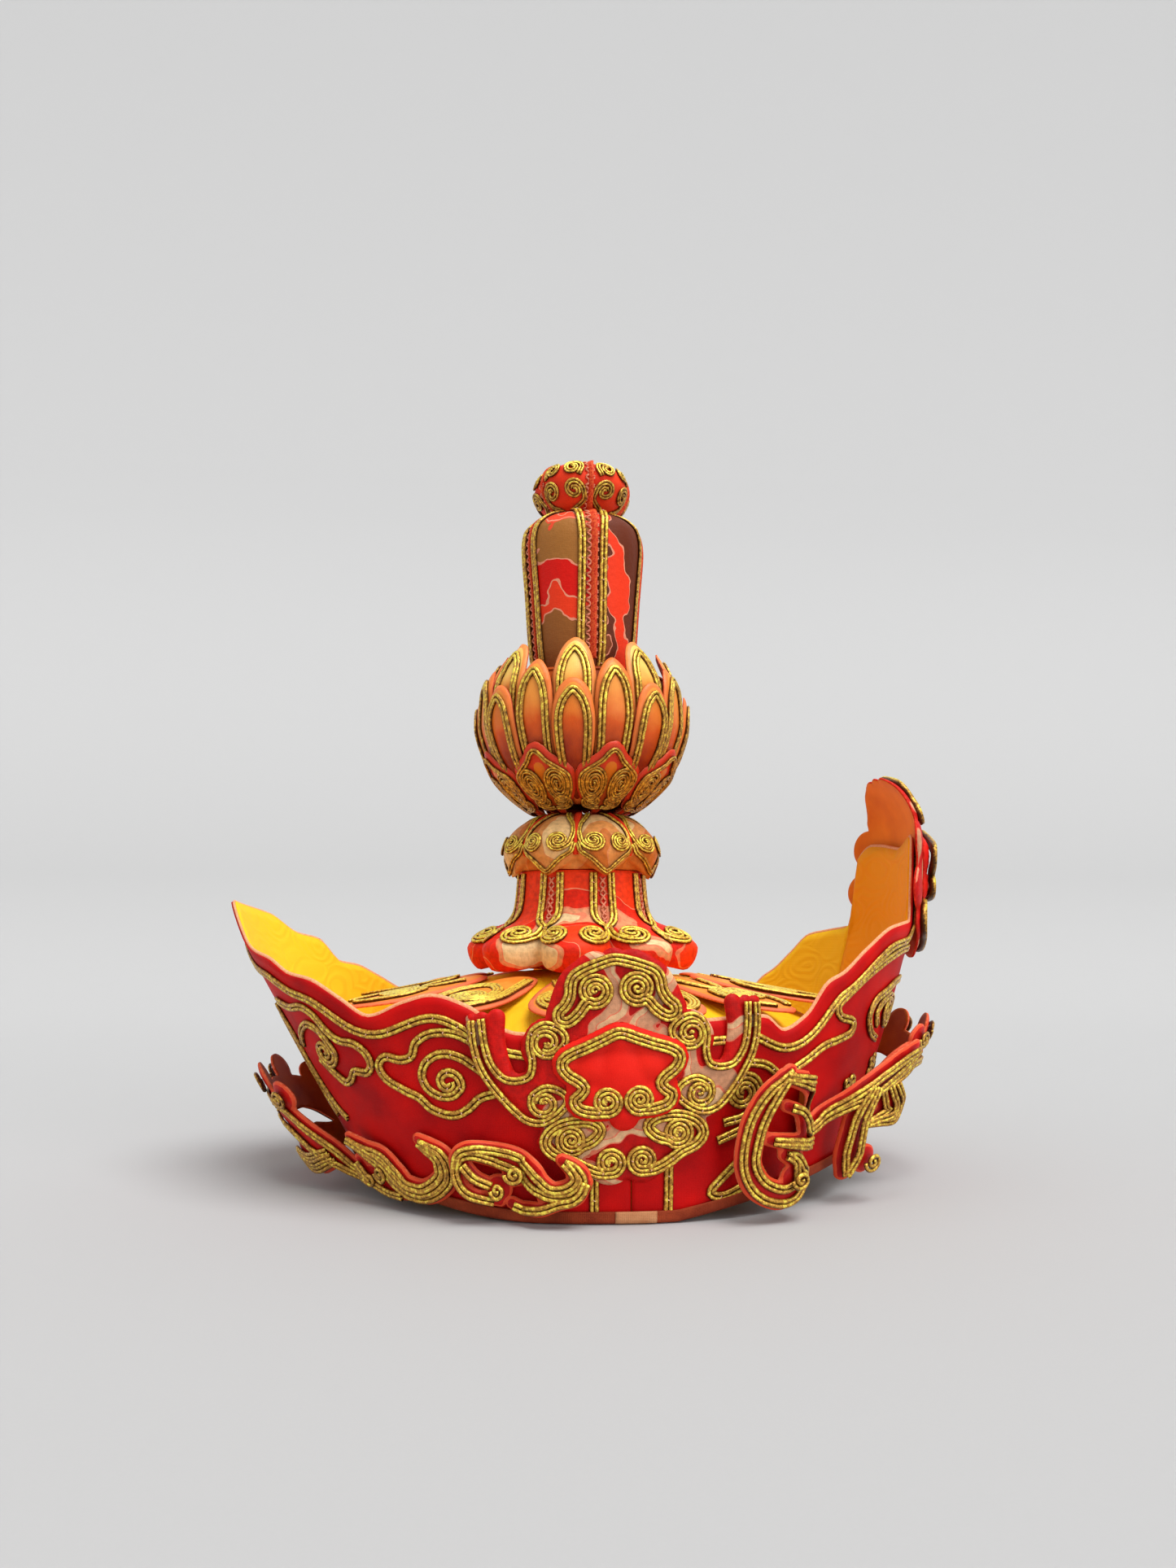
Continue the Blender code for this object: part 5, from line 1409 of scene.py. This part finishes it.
def vase_brocade(name, across, upwards, outline):
    """The vase's panels, cut in turn from two parts of a cloud brocade: on one the clouds lie in
    level bands, on the other they climb in a slanting streak. A pale thread edges each colour."""
    material, shader = cloth_material(name, Roughness=0.55, Specular_IOR_Level=0.18)
    cloth = add(material, "ShaderNodeUVMap", uv_map="cloth")
    ripple = add(material, "ShaderNodeTexNoise", {"Vector": cloth.outputs[0], "Scale": 95.0, "Detail": 1.5})
    parts = add(material, "ShaderNodeSeparateXYZ", {0: cloth.outputs[0]})
    turn = add(material, "ShaderNodeMapRange", {"Value": parts.outputs["X"], 2: 2 * math.pi * VASE_RADIUS,
                                                3: -180.0, 4: 180.0}, clamp=False)
    panel = add(material, "ShaderNodeMapRange", {"Value": turn.outputs[0], 1: PANEL_SEAM_TURN - PANEL_TURN,
                                                 2: PANEL_SEAM_TURN}, clamp=False)
    own = add(material, "ShaderNodeMath", {0: panel.outputs[0], 1: 2.0}, operation="FLOORED_MODULO")
    second = add(material, "ShaderNodeMath", {0: own.outputs[0], 1: 1.0}, operation="GREATER_THAN")
    rise = add(material, "ShaderNodeMapRange", {"Value": parts.outputs["Y"], 2: vase_high}, clamp=False)
    level = add(material, "ShaderNodeMath", {0: ripple.outputs["Fac"], 1: 0.36, 2: rise.outputs[0]},
                operation="MULTIPLY_ADD")
    slant = add(material, "ShaderNodeMath", {0: rise.outputs[0], 1: 0.55, 2: own.outputs[0]},
                operation="MULTIPLY_ADD")
    streak = add(material, "ShaderNodeMath", {0: ripple.outputs["Fac"], 1: 0.9, 2: slant.outputs[0]},
                 operation="MULTIPLY_ADD")
    field = add(material, "ShaderNodeMapRange", {"Value": streak.outputs[0], 1: 1.0, 2: 3.0}, clamp=False)
    banded, streaked = (outlined_patches(material, value, stops, outline, line_width=0.007)
                        for value, stops in ((level.outputs[0], upwards), (field.outputs[0], across)))
    colour = add(material, "ShaderNodeMix", {0: second.outputs[0], 6: banded, 7: streaked},
                 data_type="RGBA")
    wire(material, colour.outputs[2], shader, "Base Color")
    floss_rows(material, shader, add(material, "ShaderNodeTexCoord"))
    return material


vase_at, vase_high, vase_low, vase_radius = panelled(VASE, VASE_RADIUS, VASE_HEIGHT, VASE_SEAT, VASE_DRAWN_IN)
VASE_CLOUDS = vase_brocade(
    "cloud brocade, brown and red",
    across=((0.0, "#8A4420"), (0.36, "#6A2C14"), (0.47, "#FA3C18"), (0.60, "#6A2C14")),
    upwards=((0.0, "#9A5C28"), (0.50, "#F43C18"), (0.60, "#E01408"), (0.82, "#A86C30"), (1.02, "#FAD098"),
             (1.10, "#F04C2C")),
    outline="#F09878")
vase = form_piece("vase_cushion", vase_at, vase_high, vase_low, VASE_CLOUDS, columns=140, rows=44)
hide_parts("finial_vase")
bulb_at, bulb_high, bulb_low, bulb_radius = panelled(BULB, BULB_RADIUS, BULB_HEIGHT, BULB_SEAT, BULB_DRAWN_IN)
bulb = form_piece("bulb_cushion", bulb_at, bulb_high, bulb_low, SEAM_SATIN, columns=120, rows=30)
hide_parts("finial_bulb")

VASE_CORDS = pair([(-8.6, 2), (-9.7, 25), (-10.6, 42), (-11.1, 54), (-10.0, 61), (-7.0, 67.5), (-3.8, 72),
                   (-2.5, 75)])
BULB_LOW = pair([(-2.2, 0.2), (-2.8, 2.0), (-5.6, 4.0), (-8.2, 6.6), (-8.6, 9.8)], end=(-4.9, 9.8, -1),
                pitch=2 * FINE_CORD)
BULB_HIGH = pair([(-7.2, 15.4), (-8.0, 18.0)], end=(-4.4, 18.6, -1), pitch=2 * FINE_CORD)
seam_bands = []
for i in range(PANEL_COUNT):
    panel = facing(vase_at, vase_radius, PANEL_MIDDLE + PANEL_TURN * i)
    for line in VASE_CORDS:
        finial_cords += couch(panel, line, 2, stitches=finial_sewn)
    cheek = facing(bulb_at, bulb_radius, PANEL_MIDDLE + PANEL_TURN * i)
    for line in BULB_LOW + BULB_HIGH:
        fine_cords += couch(cheek, line, 2, pitch=FINE_CORD)
    # a band of floss lies along each seam, under the cross stitches
    for at, radius_at, low, high, half in (
        (vase_at, vase_radius, 0.008, vase_high - 0.004, 0.0025),
        (bulb_at, bulb_radius, 0.002, bulb_high - 0.004, 0.0020),
    ):
        seam = facing(at, radius_at, PANEL_SEAM_TURN + PANEL_TURN * i)
        roll = np.linspace(low, high, int((high - low) / 0.001))
        seam_bands.append(lifted(seam, 0 * roll, roll, np.full(len(roll), 0.0001)))
        seam_threads += seam_crosses(seam, low, high, half)
seam_rolls = cords_piece("finial_seam_bands", seam_bands, SEAM_FLOSS, wide=0.0027, high=0.0008, sides=8)

cords_piece("finial_cords", finial_cords, GOLD)
cords_piece("finial_fine_cords", fine_cords, GOLD, wide=0.00058, high=0.00052, sides=5)
crosses = cords_piece("finial_seam_threads", seam_threads, SALMON_THREAD, wide=0.00042, high=0.00030, sides=4)


# Side medallions
# On each side a large cloud-shaped badge of brocade over stiff card, with coils and ribbons of cord
# and two tails, and on it a smaller padded plaque of red satin in the same shape.
MEDALLION_HEIGHT = 0.0760
MEDALLION_MIDDLE = 0.0450
MEDALLION_LEAN = math.radians(3.5)
MEDALLION_BACK_SET = 0.0050
ORNAMENT = 0.0018
# across, up and radius, as shares of MEDALLION_HEIGHT, the same on both sides
MEDALLION_DISCS = (
    (0.000, 0.560, 0.060), (0.088, 0.495, 0.105), (0.000, 0.270, 0.180), (0.300, 0.205, 0.112),
    (0.130, 0.080, 0.240), (0.335, -0.040, 0.112), (0.110, -0.120, 0.180), (0.232, -0.200, 0.110),
    (0.070, -0.305, 0.104),
)
MEDALLION_WINGS = ((0.080, 0.540, 0.070), (0.170, 0.485, 0.062), (0.235, 0.345, 0.062))
MEDALLION_TAILS = (
    (0.300, 0.205, 0.062), (0.325, 0.070, 0.060), (0.425, 0.022, 0.058), (0.510, 0.110, 0.058),
    (0.530, 0.250, 0.056), (0.500, 0.350, 0.036),
)
INSET_DISCS = (
    (0.000, 0.230, 0.062), (0.000, 0.060, 0.150), (0.130, 0.110, 0.100), (0.225, 0.140, 0.058),
    (0.130, -0.020, 0.095), (0.195, 0.020, 0.055), (0.000, -0.110, 0.070),
)
BADGE_TOP = [(0, 43.4), (4, 42.5), (8.9, 40.8), (12.6, 38.8), (14.1, 36.0), (14.6, 32.4), (16.2, 29.4),
             (18.4, 27.2), (18.4, 24.6), (15.8, 23.8), (12.4, 26.2), (9.3, 30.0)]
MEDALLION_CORDS = (
    [stroke(flipped(BADGE_TOP)[::-1] + BADGE_TOP[1:], start=(-6.7, 33.6, 1), end=(6.7, 33.6, -1),
            pitch=0.0013, core=2.42)]
    + pair([(5.8, -26.7), (9.5, -26.3), (14.2, -24.0), (18.3, -21.4), (23.2, -19.4), (25.8, -16.1),
            (24.5, -12.5), (20.3, -9.8), (14.5, -9.0), (10.0, -9.8), (7.8, -12.4), (10.4, -15.6),
            (14.4, -17.2)],
           start=(5.2, -23.2, -1), end=(17.4, -15.0, 1), pitch=0.0011, core=2.28)
)
TAIL_CORDS = (
    pair([(42.5, 26.6), (42.2, 17.8), (40.9, 11.6), (37.4, 6.6), (32.7, 5.6), (28.9, 7.2), (27.8, 11.8),
          (28.3, 16.6), (27.2, 21), (23.8, 23.4), (20, 22.6), (17.2, 20), (17.2, 17.0), (19.4, 14.6)],
         end=(23.0, 17.6, 1), pitch=0.0023, core=0.8)
    + pair([(45.6, 26.2), (45.6, 17.4), (44.0, 9.8), (40.4, 3.0), (35.4, -3.6), (30.8, -7.8), (25.9, -8.6),
            (21.4, -6.4), (18, -3.0), (18.0, -0.4), (20.7, 1.9), (24.8, 2.7), (28.4, 0.6)],
           end=(25.2, -2.4, -1), pitch=0.0023, core=0.8)
)
PLAQUE_LINE = [(0, 19.6), (5.2, 17.7), (10.5, 15.5), (14.9, 13.9), (17.9, 12.0), (18.4, 9.4), (16.6, 6.7),
               (13.6, 4.5), (12.1, 2.3), (13.5, 0.2), (15.4, -1.5), (14.0, -4.4), (9.8, -5.8), (6.4, -5.9)]
PLAQUE_CORDS = [stroke(flipped(PLAQUE_LINE)[::-1] + PLAQUE_LINE[1:], start=(-5.2, -2.6, 1),
                       end=(5.2, -2.6, -1), pitch=0.0011, core=2.2)]
# the middles of the coils: across, up, which way the cord winds, and its first turn's radius
MEDALLION_BUTTONS = ((6.7, 33.6, -1, 1.5), (5.2, -23.2, -1, 1.1), (17.4, -15.0, 1, 1.1))
TAIL_BUTTONS = ((23.0, 17.6, 1, 0.9), (25.2, -2.4, -1, 0.9))
PLAQUE_BUTTONS = ((5.2, -2.6, -1, 1.1),)
BADGE_MARGIN = 0.0027
TAIL_MARGIN = 0.0020
PLAQUE_MARGIN = 0.0034
INSET_SHARE = 0.94
# how far the cords lie above the surface that carries the badge
BADGE_CORDS_UP = ORNAMENT + 0.0003
PLAQUE_CORDS_UP = 2 * ORNAMENT + 2 * GAP + 0.0004


def both_sides(rows):
    """Discs and the same discs on the other side of the middle line."""
    rows = np.asarray(rows, dtype=float)
    return np.vstack([rows, rows * (-1, 1, 1)])


def medallion_shape(tails=True):
    """The discs that a badge's cloth is cut to, with its wings and, on the sides, its two tails."""
    bands = [band(np.asarray(MEDALLION_WINGS) * 1000)] + [band(np.asarray(MEDALLION_TAILS) * 1000)] * tails
    cloth = both_sides(np.vstack([np.asarray(MEDALLION_DISCS)] + bands)) * MEDALLION_HEIGHT
    hems = [hem(MEDALLION_CORDS, BADGE_MARGIN)] + [hem(TAIL_CORDS, TAIL_MARGIN)] * tails
    return np.vstack([cloth] + hems)


def medallion_on(x, y):
    """Where the side medallions lie, flat coordinates from the badge's middle."""
    length = x * math.cos(MEDALLION_LEAN) - y * math.sin(MEDALLION_LEAN) - MEDALLION_BACK_SET
    height = MEDALLION_MIDDLE + y * math.cos(MEDALLION_LEAN) + x * math.sin(MEDALLION_LEAN)
    return on_wall(turn_at(length), height, 2 * GAP)


def other_side(piece, name):
    """The same piece on the crown's left side."""
    mesh = piece.data.copy()
    mesh.transform(Matrix.Scale(-1, 4, (0, 1, 0)))
    mesh.flip_normals()
    twin = bpy.data.objects.new(name, mesh)
    bpy.context.scene.collection.objects.link(twin)
    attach(twin, "root")
    return twin


def ribbon(surface, lines, buttons, count, lift, stitches=None):
    """Lays ribbons of count cords side by side, and in the middle of their coils the buttons."""
    laid = []
    for line in lines:
        laid += couch(surface, line, count, lift=lift, pitch=BADGE_CORD, stitches=stitches)
    for x, y, way, across in buttons:
        for side in (1, -1):
            laid += couch(surface, button(side * x, y, side * way, across), 1, lift=lift)
    return laid


BADGE_BROCADE = cloud_brocade(
    "cloud brocade, red and tan",
    ((0.0, "#D81008"), (0.52, "#E0A078"), (0.62, "#F0C090"), (0.69, "#C80C06")),
    size_mm=20, outline="#F08060", seed=0.77)
PLAQUE_SATIN = red_satin("red satin, padded", "#F42414", "#E0140A")
BADGE_BACK = red_satin("orange satin, backing", "#F88818", "#E06C0C")

badge = cut_cloth("medallion_badge_right", medallion_shape(), medallion_on, ORNAMENT,
                  [BADGE_BROCADE, RED_EDGE, BADGE_BACK])
plaque_shape = np.vstack([both_sides(INSET_DISCS) * MEDALLION_HEIGHT * INSET_SHARE,
                          hem(PLAQUE_CORDS, PLAQUE_MARGIN)])
inset = cut_cloth("medallion_plaque_satin_right", plaque_shape, medallion_on, ORNAMENT,
                  [PLAQUE_SATIN, RED_EDGE, BADGE_BACK], seat=2 * GAP + ORNAMENT, swell=0.0016, roll=0.004)

badge_cords = ribbon(medallion_on, MEDALLION_CORDS, MEDALLION_BUTTONS, 3, BADGE_CORDS_UP, sewn)
badge_cords += ribbon(medallion_on, TAIL_CORDS, TAIL_BUTTONS, 2, BADGE_CORDS_UP, sewn)
badge_cords += ribbon(medallion_on, PLAQUE_CORDS, PLAQUE_BUTTONS, 3, PLAQUE_CORDS_UP, sewn)
cords_piece("medallion_cords", badge_cords + mirrored(badge_cords), GOLD, wide=0.00074, high=0.00068)
for piece, node, slot in ((badge, "medallion_", "salmon_brocade"), (inset, "medallion_plaque_", "red_satin")):
    for side, shown in (("right", piece), ("left", other_side(piece, piece.name.replace("right", "left")))):
        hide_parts(node + side)


# Front plaque
# The same badge without tails, sewn to the front lobe, hanging straight down from it and leaning
# in over its top.
PLAQUE_BELOW_CREST = 0.0136
PLAQUE_LEAN_ABOVE_CREST = 0.0010
PLAQUE_LEAN_RADIUS = 0.0360
FRONT_CORDS_UP = ORNAMENT + 0.0006
FRONT_INSET_CORDS_UP = 2 * ORNAMENT + GAP + 0.0022
FRONT_CREST = float(edge_height(0.0))


def front_on(x, y):
    """Where the front plaque lies, flat coordinates from the badge's middle."""
    height = FRONT_CREST - PLAQUE_BELOW_CREST + y
    leaning = np.clip(height - FRONT_CREST - PLAQUE_LEAN_ABOVE_CREST, 0, None) / PLAQUE_LEAN_RADIUS
    out = 4 * GAP - PLAQUE_LEAN_RADIUS * (1 - np.cos(leaning))
    points = on_wall(turn_at(TO_FRONT + x), np.maximum(height, WALL_HEIGHT), out)
    points[..., 2] = height - PLAQUE_LEAN_RADIUS * (leaning - np.sin(leaning))
    return points


front_plaque = cut_cloth("front_plaque_badge", medallion_shape(tails=False), front_on, ORNAMENT,
                         [BADGE_BROCADE, RED_EDGE, BADGE_BACK])
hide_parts("front_plaque")
front_inset = cut_cloth("front_plaque_inset", plaque_shape, front_on, ORNAMENT,
                        [PLAQUE_SATIN, RED_EDGE, BADGE_BACK], seat=GAP + ORNAMENT, swell=0.0032, roll=0.004)
front_cords = ribbon(front_on, MEDALLION_CORDS, MEDALLION_BUTTONS, 3, FRONT_CORDS_UP)
front_cords += ribbon(front_on, PLAQUE_CORDS, PLAQUE_BUTTONS, 3, FRONT_INSET_CORDS_UP)
cords_piece("front_plaque_cords", front_cords, GOLD, wide=0.00076, high=0.0013)


# Cloud scrolls
# Curling clouds cut from stiffened satin, their faces covered with rows of cord that follow each
# arm and coil at its heart; the tips stand off the wall and show their orange-brown lining.
OVER_BINDING = BINDING + 2 * GAP
ON_WALL = 2 * GAP
ROW_MARGIN = 0.0009
SHORTEST_ROW = 0.006
BAND_UP = 0.0004
NEXT_ROW_UP = 0.0003
HEART_UP = 0.0005
# along the wall from the side seam (minus is backwards), up, and half width, in mm
WAVE_BANDS = (
    ((-106.0, 24.5, 2.0), (-99.5, 20.6, 3.6), (-92.0, 17.4, 5.2), (-87.0, 12.8, 5.2), (-82.5, 9.4, 4.5),
     (-75.7, 8.4, 4.5), (-68.4, 11.2, 4.8), (-64.2, 16.4, 4.8), (-65.2, 21.4, 4.2), (-69.5, 24.6, 3.4),
     (-73.9, 27.2, 2.2)),
    ((-105.0, 16.5, 2.2), (-101.0, 9.6, 3.2), (-93.0, 6.6, 3.4), (-85.0, 6.2, 2.2)),
)
WAVE_DISCS = ((-94.0, 13.5, 5.0), (-101.0, 11.0, 4.4))
LEAF_BANDS = (
    ((-58.8, 16.5, 2.2), (-58.2, 22.4, 3.0), (-54.2, 25.0, 3.5), (-48.0, 23.8, 4.2), (-40.7, 21.8, 4.8),
     (-35.4, 18.8, 4.7), (-31.6, 14.6, 4.0), (-27.0, 11.9, 3.8), (-21.9, 12.9, 4.0), (-18.8, 17.0, 3.8),
     (-21.4, 20.8, 3.0), (-24.4, 23.0, 2.1)),
    ((-16.6, 15.8, 2.1), (-19.7, 10.2, 2.3), (-25.5, 8.6, 2.6), (-32.0, 6.2, 2.6), (-37.2, 5.8, 2.5),
     (-41.4, 7.6, 2.2)),
    ((-58.8, 18.0, 2.1), (-57.2, 12.8, 2.2), (-52.6, 9.6, 2.2), (-45.5, 8.0, 2.1)),
    ((-56.4, 21.0, 2.1), (-53.0, 16.2, 2.2), (-48.6, 13.8, 2.1)),
)
LEAF_DISCS = ((-39.7, 18.0, 4.9), (-45.9, 12.4, 4.8))
CREST_BANDS = (
    ((46.7, 51.2, 2.4), (39.7, 42.3, 4.2), (35.4, 32.3, 4.5), (33.9, 21.9, 4.4), (37.4, 13.1, 4.8),
     (45.2, 9.3, 5.0), (51.7, 13.2, 4.6), (50.6, 20.4, 3.8), (45.9, 23.1, 2.4)),
    ((44.4, 49.5, 2.6), (54.5, 46.2, 3.7), (59.2, 38.0, 3.9), (61.4, 27.5, 3.2)),
    ((41.0, 28.5, 2.4), (46.7, 27.4, 2.9), (56.8, 26.0, 3.3), (64.6, 28.6, 3.4), (77.0, 35.9, 3.6),
     (87.2, 43.4, 4.8), (97.3, 49.5, 4.4), (107.4, 55.0, 2.3)),
    ((85.4, 42.9, 3.6), (81.9, 30.8, 3.8), (81.2, 19.3, 4.2), (80.4, 11.0, 2.4)),
    ((46.0, 39.5, 2.2), (51.0, 37.0, 2.3), (53.6, 28.5, 2.2)),
)
CREST_DISCS = ((49.6, 15.0, 4.9), (88.2, 15.6, 5.2))
BACK_BANDS = (
    ((-107.4, 8.8, 3.2), (-118.3, 10.4, 4.0), (-127.7, 18.7, 5.6), (-137.0, 27.5, 6.4), (-146.4, 30.8, 6.6),
     (-160.4, 31.9, 7.2)),
    ((-124.6, 15.4, 4.4), (-135.5, 11.0, 5.2), (-144.8, 14.3, 3.4)),
)
BACK_DISCS = ((-133.9, 36.3, 5.2), (-149.5, 40.7, 5.8))
FRONT_BANDS = (
    ((99.6, 31.9, 3.2), (107.4, 34.1, 4.0), (115.2, 41.8, 5.2), (123.0, 49.5, 6.2), (133.9, 50.6, 6.4),
     (153.4, 46.2, 7.4)),
    ((116.0, 38.5, 4.8), (119.9, 28.6, 5.6), (111.3, 24.2, 2.4)),
)
FRONT_DISCS = ((124.6, 56.1, 5.2), (140.1, 58.3, 5.8))
# how far each scroll stands off its seat along its length, as shares of SCROLL_HEIGHT
WAVE_STAND = ((-0.70, 0.07), (-0.60, 0.0), (-0.30, 0.0))
LEAF_STAND = ((-0.40, 0.075), (-0.35, 0.050), (-0.29, 0.0), (-0.24, 0.0), (-0.20, 0.060), (-0.10, 0.070))
CREST_STAND = ((0.20, 0.16), (0.29, 0.20), (0.34, 0.19), (0.375, 0.04), (0.39, 0.0), (0.44, 0.0),
               (0.54, 0.17), (0.70, 0.27))
BACK_STAND = ((-0.68, 0.0), (-0.74, 0.0), (-0.84, 0.21), (-0.93, 0.31), (-1.05, 0.34))
FRONT_STAND = ((0.62, 0.0), (0.69, 0.0), (0.78, 0.20), (0.88, 0.29), (1.00, 0.31))

SCROLL_SATIN = edged_satin("red satin scroll, stiffened", "#DC1408", "#A80806", "#E8502A", edge_mm=0.8)
SCROLL_BACK = red_satin("orange-brown satin, scroll backs", "#B8601A", "#8C3C0A")


def scroll_on(stand, seat):
    """Where a scroll stands along the right-hand wall."""
    def surface(x, y):
        return on_wall(turn_at(x), y, seat + SCROLL_HEIGHT * smooth_line(stand, x / QUARTER))

    return surface


def end_on(stand, seat, middle):
    """A scroll that runs round the front or back, the same on both sides of its middle."""
    def surface(x, y):
        share = x / QUARTER
        beyond = (share > middle) if middle > 0 else (share < middle)
        near = np.where(beyond, 2 * middle - share, share)
        points = on_wall(turn_at(near * QUARTER), y, seat + SCROLL_HEIGHT * smooth_line(stand, near))
        return points * np.where(beyond, -1.0, 1.0)[..., None] ** np.array([0, 1, 0])

    return surface


def scroll_shape(bands, discs, middle=None):
    """The discs that a scroll's cloth is cut to, and beyond its middle the same again."""
    shape = np.vstack([np.asarray(discs) / 1000] + [band(rows) for rows in bands])
    if middle is not None:
        shape = np.vstack([shape, shape * (-1, 1, 1) + (2 * middle * QUARTER, 0, 0)])
    return shape


def cord_rows(surface, bands, discs, lift, middle=None):
    """Cords abreast along each band, as many as fit its width, and a coil on each disc."""
    laid = []
    for level, rows in enumerate(bands):
        strung = band(rows, 14)
        line = flowing(strung[:, :2])
        along = np.concatenate(([0], np.cumsum(np.linalg.norm(np.diff(strung[:, :2], axis=0), axis=1))))
        even = np.linspace(0, along[-1], len(line))
        half = np.interp(even, along, strung[:, 2]) - ROW_MARGIN - CORD
        count = max(1, round(2 * half.max() / (2.2 * CORD)) + 1)
        for k in range(count):
            share = 2 * k / (count - 1) - 1 if count > 1 else 0.0
            # the pairs draw together where the band narrows, and the inner ones end there
            inside = (half > -0.0007) if abs(share) in (0, 1) else (2 * half / (count - 1) > 1.7 * CORD)
            stops = np.flatnonzero(np.diff(np.concatenate(([0], inside.astype(int), [0]))))
            for first, last in zip(stops[::2], stops[1::2]):
                if (last - first) * CORD_STEP > SHORTEST_ROW:
                    row = beside(line, share * np.maximum(half, 0))[first:last]
                    laid += couch(surface, flowing(row[::4]) if len(row) > 12 else row, 2,
                                  lift=lift + BAND_UP * level + NEXT_ROW_UP * (k % 2))
    for x, y, radius in np.asarray(discs) / 1000:
        start = (x - (radius - ROW_MARGIN - CORD_WIDE), y)
        laid += couch(surface, flowing(coil((x, y), start, 1, pitch=CORD)), 1,
                      lift=lift + HEART_UP * len(bands))
    if middle is not None:
        laid += mirrored(laid)
    return laid


scroll_cords = []
for name, bands, discs, stand, seat in (
    ("scroll_wave_", WAVE_BANDS, WAVE_DISCS, WAVE_STAND, OVER_BINDING),
    ("scroll_leaf_", LEAF_BANDS, LEAF_DISCS, LEAF_STAND, OVER_BINDING),
    ("scroll_crest_", CREST_BANDS, CREST_DISCS, CREST_STAND, ON_WALL),
):
    surface = scroll_on(stand, seat)
    right = cut_cloth(name + "right_satin", scroll_shape(bands, discs), surface, ORNAMENT,
                      [SCROLL_SATIN, SALMON_EDGE, SCROLL_BACK])
    for side, shown in (("right", right), ("left", other_side(right, name + "left_satin"))):
        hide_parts(name + side)
    laid = cord_rows(surface, bands, discs, ORNAMENT + CORD_ABOVE)
    scroll_cords += laid + mirrored(laid)
for name, bands, discs, stand, seat, middle in (
    ("scroll_front", FRONT_BANDS, FRONT_DISCS, FRONT_STAND, ON_WALL, TO_FRONT / QUARTER),
    ("scroll_back", BACK_BANDS, BACK_DISCS, BACK_STAND, OVER_BINDING, TO_BACK / QUARTER),
):
    surface = end_on(stand, seat, middle)
    shown = cut_cloth(name + "_satin", scroll_shape(bands, discs, middle), surface, ORNAMENT,
                      [SCROLL_SATIN, SALMON_EDGE, SCROLL_BACK])
    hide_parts(name)
    scroll_cords += cord_rows(surface, bands, discs, ORNAMENT + CORD_ABOVE, middle)
cords_piece("scroll_cords", scroll_cords, GOLD)

# all the small stitches that hold cords down, on the badges, the wall and the finial
stitches = cords_piece("couching_stitches", sewn + mirrored(sewn) + wall_sewn + finial_sewn,
                       COUCHING_THREAD, wide=STITCH, high=STITCH, sides=4)
